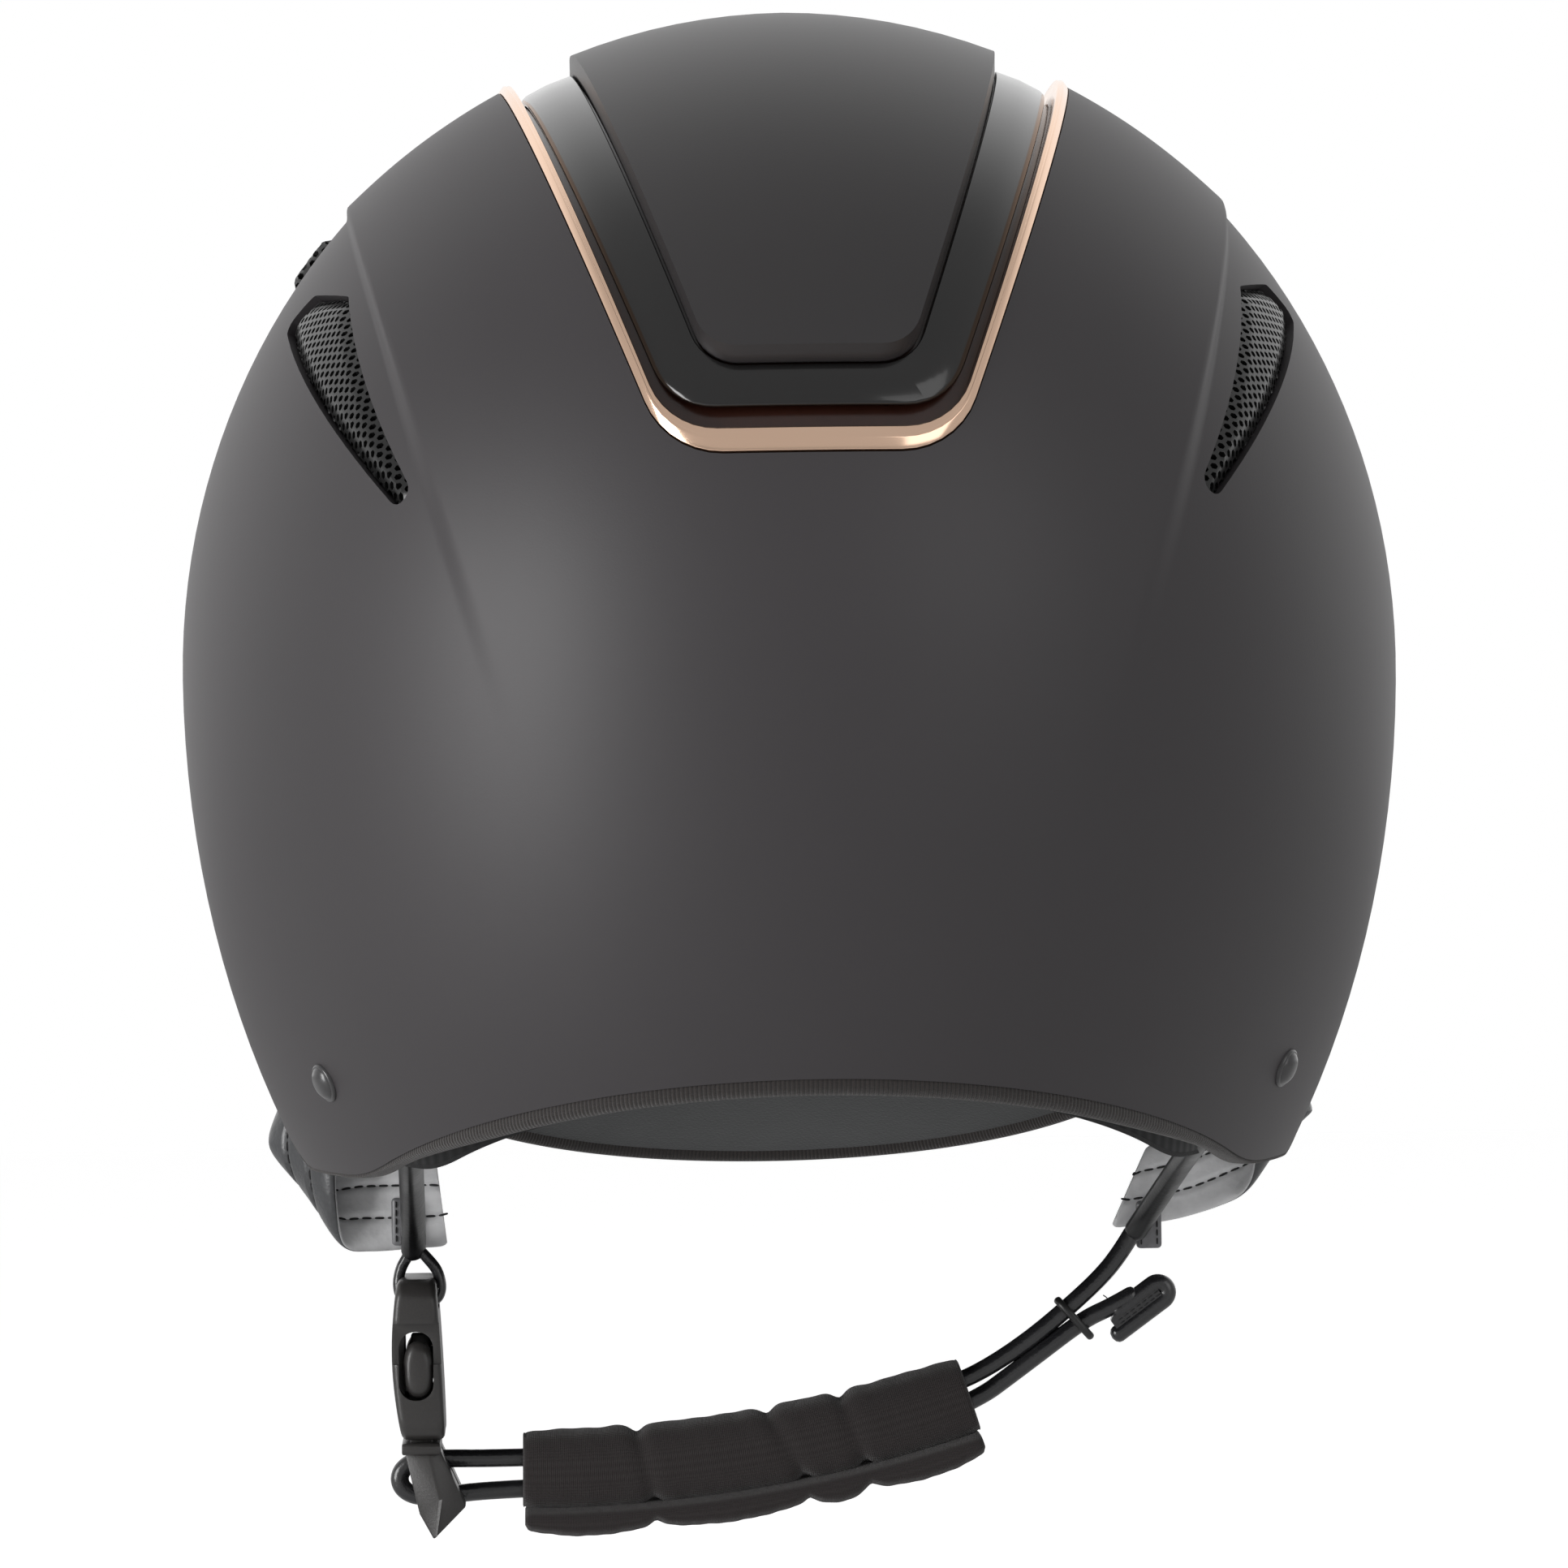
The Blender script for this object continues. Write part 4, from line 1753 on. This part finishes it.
# ---------------------------------------------------------------- keeper ring
# A thin rubber ring holds the two runs of cord together.
keeper_turn = math.radians(41.5)
keeper_run = Vector((math.cos(keeper_turn), 0, math.sin(keeper_turn)))
keeper_side = Vector((math.sin(keeper_turn), 0, -math.cos(keeper_turn)))
keeper_middle = Vector((0.0509, jy, -0.0278)) + keeper_side * 0.0021
keeper_long, keeper_short = 0.00460, 0.00245
keeper_half_wall, keeper_half_wide = 0.00055, 0.00075
keeper_sides, keeper_steps = 12, 64
keeper_loops = []
for k in range(keeper_sides):
    angle = 2 * math.pi * k / keeper_sides
    loop = []
    for i in range(keeper_steps):
        way = 2 * math.pi * i / keeper_steps
        c, s = math.cos(way), math.sin(way)
        out = (keeper_side * c / keeper_long + forward * s / keeper_short).normalized()
        spot = keeper_middle + keeper_side * keeper_long * squared(c) + forward * keeper_short * squared(s)
        around = out * keeper_half_wall * math.cos(angle) + keeper_run * keeper_half_wide * math.sin(angle)
        loop.append(spot + around)
    keeper_loops.append(loop)
keeper = closed_ring("keeper_band", keeper_loops)
finished(keeper, 60)
rubber_dark, rubber_light = (0.010, 0.010, 0.010), (0.022, 0.022, 0.022)
rubber, shader = new_paint("ring_rubber", rubber_dark, 0.38)
tinted(rubber, shader, noise(rubber, 900, 3), rubber_dark, rubber_light)
fit(keeper, rubber, "ring", "keeper", "keeper_ring")


# ---------------------------------------------------------------- chin pad
# A knitted sleeve over the two runs of cord, drawn in where it is gathered, with a
# thin cushion sewn along its lower side.
pad_arc_x = -0.048
pad_middle = Vector((pad_arc_x, jy, 0.2036))
pad_radius = 0.260
pad_ends = (-0.0512, 0.0320)
pad_left, pad_right = (math.asin((x - pad_arc_x) / pad_radius) for x in pad_ends)
# Each gather's place at the top and at the bottom, and how deep it is.
gathers = ((-0.0297, -0.0276, 0.0011), (-0.0045, 0.0001, 0.0009), (0.0094, 0.0112, 0.0010))
sleeve_top, sleeve_low = 0.0074, -0.0067


def pad_point(angle, radial, side):
    """Point of the pad: angle along its arc, distance above its middle line, distance to the front."""
    reach = pad_radius - radial
    return pad_middle + Vector((math.sin(angle) * reach, side, -math.cos(angle) * reach))


def gather_depth(angle, radial, swell):
    """How far the gathers draw the cloth in at a place, and how far it swells between them."""
    x = pad_middle.x + math.sin(angle) * pad_radius
    up = (radial - sleeve_low) / (sleeve_top - sleeve_low)
    total = 0.0
    for top_x, low_x, depth in gathers:
        off = x - (low_x + (top_x - low_x) * up)
        total += depth * math.exp(-((off / 0.0014) ** 2))
        total -= 0.25 * depth * math.exp(-(((abs(off) - 0.0034) / 0.0022) ** 2))
    marks = [pad_ends[0]] + [low_x + (top_x - low_x) * up for top_x, low_x, _ in gathers] + [pad_ends[1]]
    for first, last in zip(marks, marks[1:]):
        if first <= x < last:
            total -= swell * math.sin(math.pi * (x - first) / (last - first)) ** 0.8
    return total


def section(half_deep, top, low, count, power):
    """Points round a soft rectangle: distance to the front and distance above the middle line."""
    middle, half = (top + low) / 2, (top - low) / 2
    spots = []
    for k in range(count):
        angle = 2 * math.pi * k / count
        spots.append((half_deep * squared(math.cos(angle), power), middle + half * squared(math.sin(angle), power)))
    return spots


pad_steps = 170
sleeve_deep, sleeve_tall, sleeve_centre, sleeve_sides = 0.0065, 0.0073, 0.0006, 56
outer_ring = section(sleeve_deep, sleeve_top, sleeve_low, sleeve_sides, 0.55)
bore_ring = section(0.0032, 0.0064, -0.0055, sleeve_sides, 0.6)
sleeve_rows = []
for k in range(sleeve_sides + 1):
    side, radial = outer_ring[k % sleeve_sides]
    bore_side, bore_radial = bore_ring[k % sleeve_sides]
    row = []
    for i in range(pad_steps + 1):
        share = i / pad_steps
        angle = pad_left + (pad_right - pad_left) * share
        edge = min(share, 1 - share) * (pad_right - pad_left) * pad_radius
        worn = 0.00035 * math.exp(-edge / 0.0008)
        wave = 0.00008 * math.sin(angle * 310 + radial * 520) + 0.00008 * math.sin(angle * 151 - side * 430)
        drawn = gather_depth(angle, radial, 0.0004) + worn - wave * 0.7
        out = Vector((side / sleeve_deep, 0, (radial - sleeve_centre) / sleeve_tall)).normalized()
        row.append(pad_point(angle, radial - out.z * drawn, side - out.x * drawn * 0.35))
    end_row = []
    for i in range(1, 7):
        share = i / 6
        mix_side = side + (bore_side - side) * share
        mix_radial = radial + (bore_radial - radial) * share
        end_row.append((mix_side, mix_radial, 0.0004 * math.sin(math.pi * share) / pad_radius))
    row += [pad_point(pad_right + swell, mix_radial, mix_side) for mix_side, mix_radial, swell in end_row]
    for i in range(1, 40):
        angle = pad_right + (pad_left - pad_right) * i / 40
        row.append(pad_point(angle, bore_radial, bore_side))
    row += [pad_point(pad_left - swell, mix_radial, mix_side) for mix_side, mix_radial, swell in reversed(end_row)]
    row.append(row[0])
    sleeve_rows.append(row)
sleeve = shaped("pad_sleeve", sleeve_rows, 70)
pad_knit = knit_paint("pad_knit", (0.016, 0.013, 0.013), (0.046, 0.040, 0.040), 1900.0, 520.0, 0.00035, 0.2)
fit(sleeve, pad_knit, "pad_fabric", "chin_pad", "chin_pad_sleeve")

cushion_rows = []
cushion_sides = 44
middle_radial = sleeve_low - 0.0017
cushion_ring = section(0.0080, sleeve_low + 0.0004, sleeve_low - 0.0038, cushion_sides, 0.62)
for k in range(cushion_sides + 1):
    side, radial = cushion_ring[k % cushion_sides]
    row = []
    for i in range(pad_steps + 1):
        share = i / pad_steps
        angle = pad_left + (pad_right - pad_left) * share
        edge = min(share, 1 - share) * (pad_right - pad_left) * pad_radius
        round_end = math.sqrt(max(0.0, 1 - (1 - min(1.0, edge / 0.0012)) ** 2))
        tuck = gather_depth(angle, sleeve_low, 0.0030) * 0.5
        wave = 0.00005 * math.sin(angle * 233) + 0.00004 * math.sin(angle * 520 + side * 300)
        low_side = (radial - middle_radial) * (0.55 + 0.45 * round_end)
        lift = tuck + wave if radial < middle_radial else 0.0
        row.append(pad_point(angle, middle_radial + low_side + lift, side * (0.94 + 0.06 * round_end)))
    cushion_rows.append(row)
lids = []
for end in (0, -1):
    spots = [row[end] for row in cushion_rows[:-1]]
    lids.append(sum(spots, Vector()) / len(spots))
for row in cushion_rows:
    row.insert(0, lids[0].copy())
    row.append(lids[1].copy())
cushion = shaped("pad_cushion", cushion_rows, 70)
fit(cushion, pad_knit, "pad_fabric", "chin_pad", "chin_pad_cushion")
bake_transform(chin_cord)

low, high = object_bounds()
